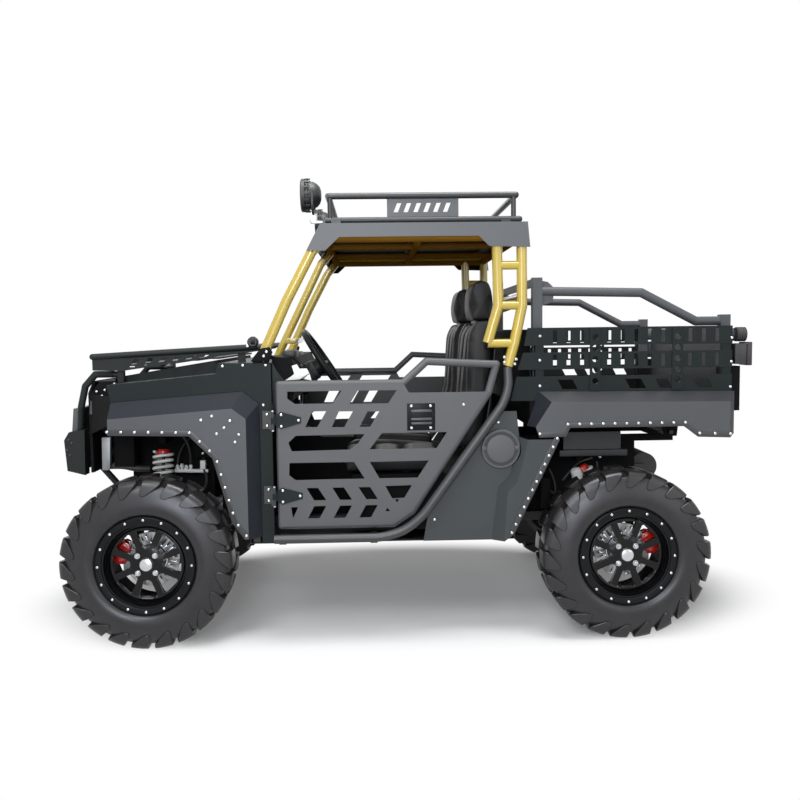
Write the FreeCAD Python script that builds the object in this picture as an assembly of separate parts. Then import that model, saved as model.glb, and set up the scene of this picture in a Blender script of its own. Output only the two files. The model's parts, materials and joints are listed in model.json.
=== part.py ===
"""Side by side utility vehicle: two seats, open cab under a roll cage, tilting bed, four driven wheels.

Millimetres. The front faces -X, the left side faces -Y and +Z is up. Lengths along X are written from
a datum under the seats. Pieces that go with the front axle are drawn with that axle at AXLE_X, and
place() shifts them by FORE. It also moves every piece so that the origin is at the ground, in the
middle of the overall box.
"""
import FreeCAD, Part
import math
import os

V = FreeCAD.Vector

# ---- driving sizes -------------------------------------------------------------------------------
WHEELBASE = 2000.0
REAR_X = 1000.0           # rear axle
AXLE_X = -1000.0          # front axle, where the pieces of the nose are drawn
FRONT_X = REAR_X - WHEELBASE
FORE = FRONT_X - AXLE_X   # shift of all that goes with the front axle
TRACK = 1290.0            # between the middle planes of the tyres
TYRE_R = 355.0            # to the tips of the lugs
TYRE_W = 254.0
CARCASS_R = 338.0         # tyre without its lugs
RIM_R = 178.0             # bead seat
FLANGE_R = 200.0
RIM_W = 196.0
WALL = 6.0                # barrel of the rim
DISC_R = 100.0            # brake disc
DISC_T = 6.0
HUB_R = 62.0
STUB_R = 16.0             # axle stub of a wheel
FIT = 0.05                # radial clearance of a running fit
GAP = 0.3                 # between faces that slide past each other
CLEAR = 8.0               # between a moving piece and what it passes
KING_Y = TRACK / 2 - 51.0 # steering axis of a front knuckle
SIDE_Y = 640.0            # outer face of hood side and cowl side
DOOR_Y = 676.0            # outer face of the doors
FLARE_Y = 692.0           # outer face of the fenders
BED_Y = 620.0             # outer face of the bed's boards
SHEET = 4.0               # thickness of the panels
CAGE_R = 22.0             # roll cage tube
CAGE_Y = 624.0
DOOR_TUBE_R = 16.0
BAR_R = 19.0              # side bar tube
BAR_Y = 706.0
ROOF_Y = 650.0
ROOF_TOP = 1750.0
RACK_R = 13.5             # roof rack tube
RACK_Y = 550.0
RAIL_R = 19.5             # bed rail tube
FLOOR_Z = 405.0
NOSE_X = -1424.0          # foremost point of the bumper
GATE_X = REAR_X + 496.0   # tailgate
TAIL_X = GATE_X + 64.0    # rearmost point of the tail lamps
COWL_TOP = 1178.0
HINGE_X = FORE - 472.0    # door hinge
HINGE_Y = 688.0
BED_PIVOT_X = GATE_X - 166.0
BED_PIVOT_Z = 820.0
GATE_PIVOT_Z = 905.0
WHEEL_X, WHEEL_Y, WHEEL_Z = -271.0, -330.0, 1166.0      # steering wheel centre
COLUMN = V(0.835, 0, 0.55)                              # from dash to driver
COLUMN_R = 40.0

HITCH_X = REAR_X + 235.0  # middle of the hitch hole
HITCH_Z = 344.0
HITCH_R = 9.5
HITCH_T = 12.0
BEAM_X = -1408.0          # front face of the bumper beam
BOLT_Z = 781.0            # middle of the bumper's four accessory bolts
BOLT_W, BOLT_H, BOLT_R = 254.0, 90.0, 5.5

HUB_Y = TRACK / 2
OFFSET = V(-(NOSE_X + FORE + TAIL_X) / 2, 0, 0)


# ---- small helpers -------------------------------------------------------------------------------
def block(x0, x1, y0, y1, z0, z1):
    return Part.makeBox(x1 - x0, y1 - y0, z1 - z0, V(x0, y0, z0))


def slab(points, along):
    """Prism of a flat polygon of 3-D points, swept along a vector."""
    corners = [V(*p) for p in points]
    return Part.Face(Part.makePolygon(corners + corners[:1])).extrude(V(*along))


def band(points, along):
    """Four-cornered sheet that may twist, as two triangular prisms."""
    a, b, c, d = points
    return fuse([slab([a, b, c], along), slab([a, c, d], along)])


def side_plate(outline, y, thick):
    """Plate with an outline of (x, z) points, from y inwards or outwards by thick."""
    return slab([(x, y, z) for x, z in outline], (0, thick, 0))


def end_plate(outline, x, thick):
    """Plate with an outline of (y, z) points, from x by thick."""
    return slab([(x, y, z) for y, z in outline], (thick, 0, 0))


def rod(a, b, r):
    a, b = V(*a), V(*b)
    return Part.makeCylinder(r, (b - a).Length, a, b - a)


def fuse(shapes):
    shapes = list(shapes)
    if len(shapes) == 1:
        return shapes[0]
    return shapes[0].multiFuse(shapes[1:]).removeSplitter()


def tube_run(points, r):
    """Round tube through points, with a ball at each bend."""
    pieces = [rod(a, b, r) for a, b in zip(points, points[1:])]
    pieces += [Part.makeSphere(r, V(*p)) for p in points[1:-1]]
    return fuse(pieces)


def ring(profile, centre):
    """Solid of revolution about Y of (r, y) points, with its middle at centre."""
    corners = [V(r, y, 0) for r, y in profile]
    face = Part.Face(Part.makePolygon(corners + corners[:1]))
    solid = face.revolve(V(0, 0, 0), V(0, 1, 0), 360)
    solid.translate(V(*centre))
    return solid


def mirrored(shape):
    return shape.mirror(V(0, 0, 0), V(0, 1, 0))


def both(shape):
    """The shape with its mirror image on the right side."""
    return Part.makeCompound([shape, mirrored(shape)])


def pair(shape):
    return [shape, mirrored(shape)]


def place(name, shape, shift=0.0):
    """Move a piece to the overall origin, with FORE as shift for a piece of the nose, and write it."""
    moved = shape.copy()
    moved.translate(OFFSET + V(shift, 0, 0))
    moved.exportStep("parts/%s.step" % name)


# ---- wheels --------------------------------------------------------------------------------------
LUGS = 22
LUG_IN_Y = 10.0                   # inner end of a lug, from the middle plane


def tyre(centre):
    """Ring of flat-sided sectors, two to each lug; lugs of the two sides stand in turn."""
    half, bead = TYRE_W / 2, RIM_W / 2
    foot = (285, half - 3)                                   # where a lug runs out on the sidewall
    bare = [(CARCASS_R, LUG_IN_Y), (CARCASS_R, half - 52), foot]
    lugged = [(CARCASS_R, LUG_IN_Y), (TYRE_R, LUG_IN_Y), (TYRE_R, half - 14), (TYRE_R - 14, half - 2), foot]
    count = 2 * LUGS
    step = 2 * math.pi / count
    low = [(FLANGE_R + 6, bead), (RIM_R / math.cos(step / 2), bead)]

    def corner(r, y, i):
        return V(r * math.sin(i * step), y, r * math.cos(i * step))

    def sheet(corners):
        return Part.Face(Part.makePolygon(corners + corners[:1]))

    faces = []
    for i in range(count):
        sides = (lugged, bare) if i % 2 else (bare, lugged)
        line = [(r, y) for r, y in sides[0] + low] + [(r, -y) for r, y in reversed(sides[1] + low)]
        for (r0, y0), (r1, y1) in zip(line, line[1:] + line[:1]):
            faces.append(sheet([corner(r0, y0, i), corner(r1, y1, i), corner(r1, y1, i + 1),
                                corner(r0, y0, i + 1)]))
        for sign in (-1, 1):
            end = lugged + bare[1:2]
            faces.append(sheet([corner(r, sign * y, i) for r, y in end]))
    shell = Part.makeShell(faces)
    shell.sewShape()
    whole = Part.makeSolid(shell)
    if whole.Volume < 0:
        whole.reverse()
    whole.translate(V(*centre))
    return whole


WINDOWS = 8
WINDOW_R0, WINDOW_R1 = 68.0, 138.0        # inner and outer edge of a window
WINDOW_W0, WINDOW_W1 = 18.0, 38.0         # half its width there
FACE_IN, FACE_T = 60.0, 12.0       # spoke face: distance outside the tyre's middle plane, thickness
DISC_IN = 5.0                      # brake disc's outer face, inside the middle plane of the tyre


def rim(centre):
    """Dished rim with eight windows, hub, brake disc and axle stub."""
    end = RIM_W / 2
    barrel_r = RIM_R - GAP
    profile = [(barrel_r, end), (FLANGE_R, end + GAP), (FLANGE_R, end + 8), (barrel_r - WALL, end + 8),
               (barrel_r - WALL, -end - 8), (FLANGE_R, -end - 8), (FLANGE_R, -end - GAP), (barrel_r, -end)]
    barrel = ring(profile, (0, 0, 0))
    face = Part.makeCylinder(barrel_r - WALL / 2, FACE_T, V(0, -FACE_IN - FACE_T, 0), V(0, 1, 0))
    y = -FACE_IN - 20
    window = slab([(-WINDOW_W0, y, WINDOW_R0), (WINDOW_W0, y, WINDOW_R0), (WINDOW_W1, y, WINDOW_R1),
                   (-WINDOW_W1, y, WINDOW_R1)], (0, 40, 0))
    windows = []
    for i in range(WINDOWS):
        copy = window.copy()
        copy.rotate(V(0, 0, 0), V(0, 1, 0), i * 360.0 / WINDOWS)
        windows.append(copy)
    face = face.cut(Part.makeCompound(windows))
    hub = Part.makeCylinder(HUB_R, FACE_IN + DISC_IN + 1, V(0, -FACE_IN - 1, 0), V(0, 1, 0))
    cap = Part.makeCylinder(26, 14, V(0, -FACE_IN - FACE_T - 14, 0), V(0, 1, 0))
    disc = Part.makeCylinder(DISC_R, DISC_T, V(0, DISC_IN, 0), V(0, 1, 0))
    stub = Part.makeCylinder(STUB_R, STUB_L, V(0, DISC_IN + DISC_T, 0), V(0, 1, 0))
    whole = fuse([barrel, face, hub, cap, disc, stub])
    whole.translate(V(*centre))
    return whole


DISC_INNER_Y = HUB_Y - DISC_IN - DISC_T        # |y| of the disc's inner face
HOUSING_Y = DISC_INNER_Y - CLEAR               # |y| of the bearing housing's outer face
HOUSING_IN_Y = KING_Y - 19.0
STUB_L = DISC_INNER_Y - KING_Y - CLEAR
UPRIGHT_H = 92.0                               # knuckle above and below the axle
PIN_R, PIN_L = 8.0, 24.0
ARM_L = 104.0                                  # steering arm
RACK_Z = 397.0
TIE_R = 7.0


def knuckle(x, to_front, steered):
    """Upright, bearing housing, caliper and, on a steered one, the steering arm; left side."""
    z = TYRE_R
    toward = -1 if to_front else 1
    housing = Part.makeCylinder(45, HOUSING_Y - HOUSING_IN_Y, V(x, -HOUSING_Y, z), V(0, 1, 0))
    upright = block(x - 20, x + 20, -KING_Y - 18, -HOUSING_IN_Y, z - UPRIGHT_H, z + UPRIGHT_H)
    near, far = sorted((x + toward * 10, x + toward * 112))
    bracket = block(near, far, -KING_Y - 18, -KING_Y - 4, z - 26, z + 26)
    near, far = sorted((x + toward * 64, x + toward * 116))
    caliper = block(near, far, -HUB_Y - 12, -KING_Y - 4, z - 40, z + 40)
    slot = Part.makeCylinder(DISC_R + CLEAR, DISC_T + 2 * CLEAR - 6,
                             V(x, -DISC_INNER_Y - DISC_T - CLEAR + 3, z), V(0, 1, 0))
    caliper = caliper.cut(slot)
    solids = [housing, upright, bracket, caliper]
    if steered:
        solids.append(block(x, x + ARM_L + 12, -KING_Y - 12, -KING_Y + 12, RACK_Z - 27, RACK_Z - 13))
    whole = fuse(solids)
    bores = [Part.makeCylinder(STUB_R + FIT, 200, V(x, -HOUSING_Y - 1, z), V(0, 1, 0)),
             Part.makeCylinder(30, 60, V(x, -KING_Y - 2, z), V(0, 1, 0))]
    if steered:
        for sign in (-1, 1):
            foot = V(x, -KING_Y, z + sign * (UPRIGHT_H - PIN_L - GAP))
            bores.append(Part.makeCylinder(PIN_R + FIT, PIN_L + 10, foot, V(0, 0, sign)))
    for bore in bores:
        whole = whole.cut(bore)
    return whole


# ---- chassis and running gear --------------------------------------------------------------------
SUB_Y, SUB_W = 200.0, 40.0        # subframe rails: middle and width
SUB_HALF = 170.0                  # subframe uprights before and behind the axle
SUB_LOW, SUB_MID, SUB_TOP = 315.0, 485.0, 830.0
SUB_H = 30.0
MAIN_Y = 230.0
MAIN_Z = 425.0
BULKHEAD_TOP = 1010.0
BED_RAIL_Z = BED_PIVOT_Z
REAR_TOWER_X, REAR_TOWER_Z = REAR_X - 120.0, 705.0
BACK_X = 560.0                    # where the bed's rails start


def subframe(x, top):
    """Rails and uprights that carry one axle, left side."""
    solids = []
    for z in (SUB_LOW, SUB_MID, top):
        solids.append(block(x - SUB_HALF, x + SUB_HALF, -SUB_Y - SUB_W / 2, -SUB_Y + SUB_W / 2,
                            z - SUB_H / 2, z + SUB_H / 2))
    for sign in (-1, 1):
        middle = x + sign * SUB_HALF
        solids.append(block(middle - 15, middle + 15, -SUB_Y - SUB_W / 2, -SUB_Y + SUB_W / 2,
                            SUB_LOW - SUB_H / 2, top + SUB_H / 2))
    return solids


def main_frame():
    """Floor rails with their outriggers."""
    half = [block(FRONT_X + SUB_HALF, REAR_X + SUB_HALF, -MAIN_Y - 20, -MAIN_Y + 20, MAIN_Z - 20, MAIN_Z + 20)]
    for x in (FORE - 560, -60.0, 470.0):
        half.append(block(x - 15, x + 15, -SIDE_Y + 30, -MAIN_Y, MAIN_Z - 15, MAIN_Z + 15))
    rail = fuse(half)
    tie = block(-75, -45, -MAIN_Y, MAIN_Y, MAIN_Z - 15, MAIN_Z + 15)
    return fuse([rail, mirrored(rail), tie])


def cross_tie(x, z):
    return block(x - 15, x + 15, -SUB_Y, SUB_Y, z - 15, z + 15)


def front_frame():
    """Front subframe, bulkhead and spring towers."""
    half = subframe(FRONT_X, SUB_TOP)
    for sign in (-1, 1):
        x = FRONT_X + sign * SUB_HALF
        half.append(block(x - 15, x + 15, -SUB_Y - 20, -SUB_Y + 20, SUB_TOP, BULKHEAD_TOP))
    half.append(block(FRONT_X - SUB_HALF - 15, FORE - 500, -SUB_Y - 20, -SUB_Y + 20,
                      BULKHEAD_TOP - 30, BULKHEAD_TOP))
    half.append(block(FRONT_X - 15, FRONT_X + 15, -400, -SUB_Y, SUB_TOP - 15, SUB_TOP + 15))
    ahead, behind = FRONT_X - SUB_HALF, FRONT_X + SUB_HALF
    ties = [cross_tie(x, z) for x, z in ((ahead, SUB_LOW), (behind, SUB_LOW), (ahead, SUB_MID),
                                         (behind, BULKHEAD_TOP - 15), (ahead, BULKHEAD_TOP - 15))]
    half.append(block(ahead, behind, -SUB_Y - 20, -SUB_Y - 20 + SHEET, SUB_MID, BULKHEAD_TOP - 10))
    return fuse([s for piece in half for s in pair(piece)] + ties).cut(main_frame())


def rear_frame():
    """Rear subframe, spring towers, the bed's support rails and the hitch tongue."""
    half = subframe(REAR_X, BED_RAIL_Z - 35)
    half.append(block(BACK_X, BED_PIVOT_X + 40, -SUB_Y - 20, -SUB_Y + 20, BED_RAIL_Z - 50, BED_RAIL_Z - 20))
    half.append(block(BACK_X, BACK_X + 30, -SUB_Y - 20, -SUB_Y + 20, MAIN_Z, BED_RAIL_Z - 20))
    half.append(block(REAR_TOWER_X - 15, REAR_TOWER_X + 15, -400, -SUB_Y, REAR_TOWER_Z, REAR_TOWER_Z + 30))
    half.append(block(REAR_TOWER_X - 15, REAR_TOWER_X + 15, -SUB_Y - 20, -SUB_Y + 20, REAR_TOWER_Z,
                      BED_RAIL_Z - 35))
    ahead, behind = REAR_X - SUB_HALF, REAR_X + SUB_HALF
    ties = [cross_tie(x, z) for x, z in ((ahead, SUB_LOW), (behind, SUB_LOW), (behind, SUB_MID),
                                         (BACK_X + 15, BED_RAIL_Z - 35), (BED_PIVOT_X + 25, BED_RAIL_Z - 35))]
    for x0, x1, low in ((ahead, behind, SUB_MID), (BACK_X + 10, ahead, MAIN_Z + 20)):
        half.append(block(x0, x1, -SUB_Y - 20, -SUB_Y - 20 + SHEET, low, BED_RAIL_Z - 40))
    tongue = block(behind - 15, HITCH_X + 35, -40, 40, HITCH_Z - HITCH_T / 2, HITCH_Z + HITCH_T / 2)
    root = block(behind - 15, behind + 15, -40, 40, SUB_LOW, HITCH_Z)
    hole = Part.makeCylinder(HITCH_R, 100, V(HITCH_X, 0, HITCH_Z - 50), V(0, 0, 1))
    solids = [s for piece in half for s in pair(piece)] + ties + [tongue, root]
    return fuse(solids).cut(hole).cut(main_frame())


def arms(x, steered):
    """Upper and lower wishbone of one wheel on the left side, as two solids."""
    out = []
    for z_in, sign in ((SUB_LOW - 10, -1), (SUB_MID, 1)):
        z_out = TYRE_R + sign * (UPRIGHT_H + GAP + 12)
        eye = (x, -KING_Y, z_out + sign * 3)
        solids = [Part.makeCylinder(20, 24, V(x, -KING_Y, z_out - 12), V(0, 0, 1))]
        for lead in (-110, 110):
            foot = (x + lead, -SUB_Y - SUB_W / 2 - 16, z_in)
            solids.append(rod(eye, foot, 10))
            solids.append(block(x + lead - 18, x + lead + 18, -SUB_Y - SUB_W / 2 - 30,
                                -SUB_Y - SUB_W / 2 - GAP, z_in - 13, z_in + 13))
        if sign > 0:
            solids.append(block(x - 66, x + 66, -456, -424, ARM_PLATE_Z - 12, ARM_PLATE_Z))
        if steered:
            start = V(x, -KING_Y, z_out)
            solids.append(Part.makeCylinder(PIN_R, PIN_L + 12, start, V(0, 0, -sign)))
        out.append(fuse(solids))
    return out


SHOCK_R = 36.0
EYE_R = 12.0
ARM_PLATE_Z = TYRE_R + UPRIGHT_H + GAP + 24


def shock(x_low, x_top, z_top):
    """Coil-over as its outer shape: spring barrel, caps and eyes; left side."""
    low, top = V(x_low, -440, ARM_PLATE_Z), V(x_top, -385, z_top)
    line = top - low
    drop = V(0, 0, GAP + EYE_R * math.hypot(line.x, line.y) / line.Length)
    low, top = low + drop, top - drop
    line = top - low
    unit = line * (1.0 / line.Length)
    solids = [rod(low, top, EYE_R)]
    solids.append(rod(low + unit * 40, top - unit * 45, SHOCK_R))
    return fuse(solids)


def axle_shafts(x):
    """Differential with both half shafts."""
    z = TYRE_R
    case = block(x - 80, x + 80, -110, 110, SUB_LOW + SUB_H / 2 + 10, z + 75)
    cup = rod((x, -160, z), (x, 160, z), 38)
    shaft = rod((x, -KING_Y + 8, z), (x, KING_Y - 8, z), 12)
    seat = block(x - 60, x + 60, -110, 110, SUB_LOW - 15, SUB_LOW + 30)
    tie = block(x - SUB_HALF + 15, x + SUB_HALF - 15, -30, 30, SUB_LOW - 15, SUB_LOW + 15)
    return fuse([case, cup, shaft, seat, tie])


def rack_housing():
    """Steering rack housing with its mounts, and the bore of the rack bar."""
    x = FRONT_X + ARM_L
    body = rod((x, -215, RACK_Z), (x, 215, RACK_Z), 22)
    feet = [block(x - 16, FRONT_X + SUB_HALF - 15 - GAP, sign * 200 - 20, sign * 200 + 20, RACK_Z - 14, RACK_Z + 14)
            for sign in (-1, 1)]
    bore = rod((x, -300, RACK_Z), (x, 300, RACK_Z), TIE_R + FIT)
    return fuse([body] + feet).cut(bore)


def rack_bar():
    """Rack bar with both tie rods, one sliding piece."""
    x = FRONT_X + ARM_L
    bar = rod((x, -KING_Y, RACK_Z), (x, KING_Y, RACK_Z), TIE_R)
    sleeves = [rod((x, sign * 330, RACK_Z), (x, sign * 400, RACK_Z), 11) for sign in (-1, 1)]
    return fuse([bar] + sleeves)


def engine():
    return block(150, 510, -MAIN_Y + 20 + GAP, MAIN_Y - 20 - GAP, FLOOR_Z + GAP, 680)


def floor_pan():
    """Floor with the firewall and the footwell sides."""
    wide = SIDE_Y - 40
    toe = FORE - 585
    floor = block(toe, 545 + SHEET, -wide, wide, FLOOR_Z - SHEET, FLOOR_Z)
    wall = block(toe - SHEET, toe, -wide, wide, FLOOR_Z - SHEET, BULKHEAD_TOP - 34)
    back = block(545, 545 + SHEET, -wide, wide, FLOOR_Z - SHEET, 760)
    whole = fuse([floor, wall, back])
    for s in (-1, 1):
        for y, z0, z1 in ((MAIN_Y, FLOOR_Z, MAIN_Z + 20), (SUB_Y, BULKHEAD_TOP - 30, BULKHEAD_TOP)):
            whole = whole.cut(block(toe - 15, 600, s * y - 20 - GAP, s * y + 20 + GAP, z0, z1 + GAP))
    return whole


def console():
    """Middle tunnel between the footwells, open below."""
    x0, x1, y = FORE - 582, -150 - GAP, 110.0
    side = [(x0, FLOOR_Z + GAP), (x1, FLOOR_Z + GAP), (x1, 800), (-300, 800), (FORE - 480, 870), (x0, 870)]
    top = [((x0, 870), (FORE - 480, 870)), ((FORE - 480, 870), (-300, 800)), ((-300, 800), (x1, 800))]
    solids = pair(side_plate(side, -y, SHEET))
    for a, b in top:
        solids.append(slab([at(a, -y), at(b, -y), at(b, y), at(a, y)], (0, 0, -SHEET)))
    return fuse(solids)


def seat_base():
    """Box under the seats, open below."""
    wide = SIDE_Y - 60
    top = block(-150, 520, -wide, wide, 690 - SHEET, 690)
    low = MAIN_Z + 20 + GAP
    front = block(-150, -150 + SHEET, -wide, wide, low, 690)
    ends = pair(block(-150, 520, -wide, -wide + SHEET, low, 690))
    return fuse([top, front] + ends)


def seat():
    """Bucket seat with its headrest, left side."""
    outline = [(-140, 690 + GAP), (-190, 770), (-150, 800), (250, 775), (330, 1010), (358, 1290), (400, 1370),
               (390, 1490), (430, 1528), (474, 1490), (470, 1350), (450, 1000), (400, 690 + GAP)]
    width = 480
    return side_plate(outline, -350 - width / 2, width)


# ---- nose and cowl -------------------------------------------------------------------------------
NOSE_LOW = (-1151.0, 955.0)       # fender's upper crease, front end
CREASE = (-640.0, 992.0)          # its rear end
CORNER = (-583.0, 948.0)
TOP_FRONT = (-1148.0, 1020.0)     # upper edge of the bevel, front end
TOP_REAR = (-601.0, 1060.0)
BACK_TOP = (-533.0, 1007.0)
HOOD_FRONT = (-1165.0, 1093.0)
HOOD_REAR = (-712.0, 1134.0)
FENDER_END_X = -480.0
SILL_Z = 412.0


def at(point, y):
    return (point[0], y, point[1])


def front_fender():
    """Outer face with three bevelled bands that lead back to the cowl side, left side."""
    low_corner = (CORNER[0], SILL_Z + 30)
    low_back = (BACK_TOP[0], SILL_Z)
    outline = [(-1153, 887), (-818, 879), (-725, 786), (-650, 512), (-600, SILL_Z + 30), low_corner,
               CORNER, CREASE, NOSE_LOW]
    inner = (0, SHEET, 0)
    y_out, y_in = -FLARE_Y, -SIDE_Y - SHEET
    bands = [(NOSE_LOW, CREASE, TOP_REAR, TOP_FRONT), (CREASE, CORNER, BACK_TOP, TOP_REAR)]
    solids = [side_plate(outline, y_out, SHEET)]
    for a, b, c, d in bands:
        solids.append(band([at(a, y_out), at(b, y_out), at(c, y_in), at(d, y_in)], inner))
    solids.append(band([at(CORNER, y_out), at(low_corner, y_out), (low_back[0], y_in, low_corner[1]),
                        at(BACK_TOP, y_in)], inner))
    return fuse(solids)


def cowl_side():
    """Side panel from the nose along the hood to the door, left side."""
    outline = [TOP_FRONT, HOOD_FRONT, HOOD_REAR, (-700, COWL_TOP), (FENDER_END_X, COWL_TOP),
               (FENDER_END_X, SILL_Z), (BACK_TOP[0], SILL_Z), BACK_TOP, TOP_REAR]
    return side_plate(outline, -SIDE_Y, SHEET)


HOOD_MID_Y = 430.0
HOOD_LIP_X = -1190.0


def hood():
    """Sloping deck with a raised middle, open below."""
    wide = SIDE_Y - SHEET
    fx, fz = HOOD_FRONT
    rx, rz = HOOD_REAR
    drop = (0, 0, -SHEET)
    deck = slab([(fx, -wide, fz), (rx, -wide, rz), (rx, wide, rz), (fx, wide, fz)], drop)
    tf, tr = (HOOD_LIP_X, 1116.0), (-718.0, 1190.0)
    top = slab([(tf[0], -HOOD_MID_Y, tf[1]), (tr[0], -HOOD_MID_Y, tr[1]), (tr[0], HOOD_MID_Y, tr[1]),
                (tf[0], HOOD_MID_Y, tf[1])], drop)
    cheeks = pair(side_plate([(fx, fz - 2), (rx, rz - 2), (tr[0], tr[1] - 2), (tf[0], tf[1] - 2)],
                             -HOOD_MID_Y, SHEET))
    lip = block(tf[0], tf[0] + SHEET, -HOOD_MID_Y, HOOD_MID_Y, 1080, tf[1] - 1)
    back = block(tr[0] - 8, tr[0] - 8 + SHEET, -HOOD_MID_Y, HOOD_MID_Y, 1131, tr[1] - 3)
    return fuse([deck, top, lip, back] + cheeks)


def cowl_top():
    """Top plate between hood and cab, and its front wall."""
    wide = SIDE_Y - SHEET
    top = block(-700, FENDER_END_X, -wide, wide, COWL_TOP - SHEET, COWL_TOP)
    front = slab([(-712, -wide, 1134), (-700, -wide, COWL_TOP), (-700, wide, COWL_TOP), (-712, wide, 1134)],
                 (SHEET, 0, 0))
    return fuse([top, front])


def dash():
    """Instrument panel across the cab."""
    outline = [(FENDER_END_X, COWL_TOP + 24), (-400, COWL_TOP + 18), (-370, 1130), (-400, 1010),
               (FENDER_END_X, 960)]
    solid = side_plate(outline, -SIDE_Y + 40, 2 * SIDE_Y - 80)
    core = side_plate([(FENDER_END_X - 1, COWL_TOP + 14), (-408, COWL_TOP + 8), (-382, 1130),
                       (-408, 1022), (FENDER_END_X - 1, 974)], -SIDE_Y + 50, 2 * SIDE_Y - 100)
    low = BULKHEAD_TOP + GAP
    shelf = block(-585, FENDER_END_X + 2, -SIDE_Y + 40, SIDE_Y - 40, low, low + SHEET)
    hub = V(WHEEL_X, WHEEL_Y, WHEEL_Z)
    hole = rod(hub - COLUMN * 300, hub, COLUMN_R + GAP)
    return fuse([solid.cut(core), shelf]).cut(hole)


def steering_column():
    """Column boss on the dash with the bore of the steering shaft."""
    top = V(WHEEL_X, WHEEL_Y, WHEEL_Z) - COLUMN * 62
    low = V(WHEEL_X, WHEEL_Y, WHEEL_Z) - COLUMN * 230
    return rod(low, top, COLUMN_R).cut(rod(low + COLUMN * 100, top + COLUMN * 10, STUB_R + FIT))


def steering_wheel():
    """Rim, three spokes, boss and shaft."""
    centre = V(WHEEL_X, WHEEL_Y, WHEEL_Z)
    rim_ring = Part.makeTorus(165, 14, centre, COLUMN)
    boss = rod(centre - COLUMN * 50, centre - COLUMN * 8, 40)
    shaft = rod(centre - COLUMN * 120, centre - COLUMN * 40, STUB_R)
    up = COLUMN.cross(V(0, 1, 0))
    up.normalize()
    solids = [rim_ring, boss, shaft]
    for angle in (-90, 90, 180):
        turn = FreeCAD.Rotation(COLUMN, angle)
        solids.append(rod(centre - COLUMN * 22, centre + turn.multVec(up) * 165, 10))
    return fuse(solids)


def front_fascia():
    """Nose panel with a grille of bars and the two lamp openings."""
    x = -1300.0
    half = 460.0
    outline = [(-half, 700), (half, 700), (half, 1050), (half - 70, 1100), (-half + 70, 1100), (-half, 1050)]
    face = end_plate(outline, x, 12)
    for i in range(6):
        z = 760 + i * 34
        face = face.cut(block(x - 5, x + 20, -240, 240, z, z + 20))
    for sign in (-1, 1):
        face = face.cut(rod((x - 5, sign * SUB_Y, 760), (x + 20, sign * SUB_Y, 760), 18 + GAP))
        face = face.cut(block(x - 5, x + 20, sign * 360 - 80, sign * 360 + 80, 945, 1020))
    returns = []
    for s in (-1, 1):
        returns.append(band([(x + 6, s * half, 870), (x + 6, s * half, 1045), (-1151, s * (SIDE_Y - 10), 1045),
                             (-1151, s * (SIDE_Y - 10), 930)], (0, -s * SHEET, 0)))
    back = HOOD_LIP_X - GAP
    top = slab([(x + 6, -half + 70, 1098), (back, -half + 70, 1098), (back, half - 70, 1098),
                (x + 6, half - 70, 1098)], (0, 0, -SHEET))
    braces = [block(x + 10, AXLE_X - SUB_HALF - 15, s * SUB_Y - 10, s * SUB_Y + 10, 1000 - 20, 1000)
              for s in (-1, 1)]
    return fuse([face, top] + returns + braces)


def headlamps():
    x = -1300.0
    lamp = block(x + 2, x + 60, -440 + GAP, -280 - GAP, 945 + GAP, 1020 - GAP)
    return both(lamp)


def bumper():
    """Beam with two end boxes, upper plate, hoop tubes and stays to the frame."""
    wing = [(NOSE_X, 840), (-1402, 876), (-1333, 887), (-1337, 684), (-1414, 704)]
    solids = pair(side_plate(wing, -430, 60))
    beam = block(BEAM_X, -1342, -380, 380, 706, 862)
    bolts = [rod((BEAM_X - 5, sy * BOLT_W / 2, BOLT_Z + sz * BOLT_H / 2),
                 (-1335, sy * BOLT_W / 2, BOLT_Z + sz * BOLT_H / 2), BOLT_R)
             for sy in (-1, 1) for sz in (-1, 1)]
    solids.append(beam.cut(Part.makeCompound(bolts)))
    solids.append(slab([(-1402, -390, 860), (-1391, -390, 978), (-1391, 390, 978), (-1402, 390, 860)],
                       (26, 0, 0)))
    for s in (-1, 1):
        y = s * 440
        solids.append(tube_run([(-1360, s * 400, 870), (-1338, y, 991), (-1317, y, 1080), (-1271, y, 1131), (-1190, y, 1131)],
                               15))
        solids.append(rod((-1344, s * SUB_Y, 760), (AXLE_X - SUB_HALF - 15, s * SUB_Y, 760), 18))
        solids.append(rod((-1355, s * SUB_Y, 712), (AXLE_X - SUB_HALF, s * SUB_Y, 490), 15))
    frame_face = AXLE_X - SUB_HALF - 15 - GAP
    return fuse(solids).cut(block(frame_face, frame_face + 100, -400, 400, 300, 900))


def winch():
    """Drum and motor behind the bumper's plate."""
    drum = rod((-1334, -160, 930), (-1334, 160, 930), 20)
    ends = [block(-1366 + GAP, -1312, s * 150 - 14, s * 150 + 14, 884, 966) for s in (-1, 1)]
    return fuse([drum] + ends)


HOOD_RACK_Y = 500.0


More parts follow.
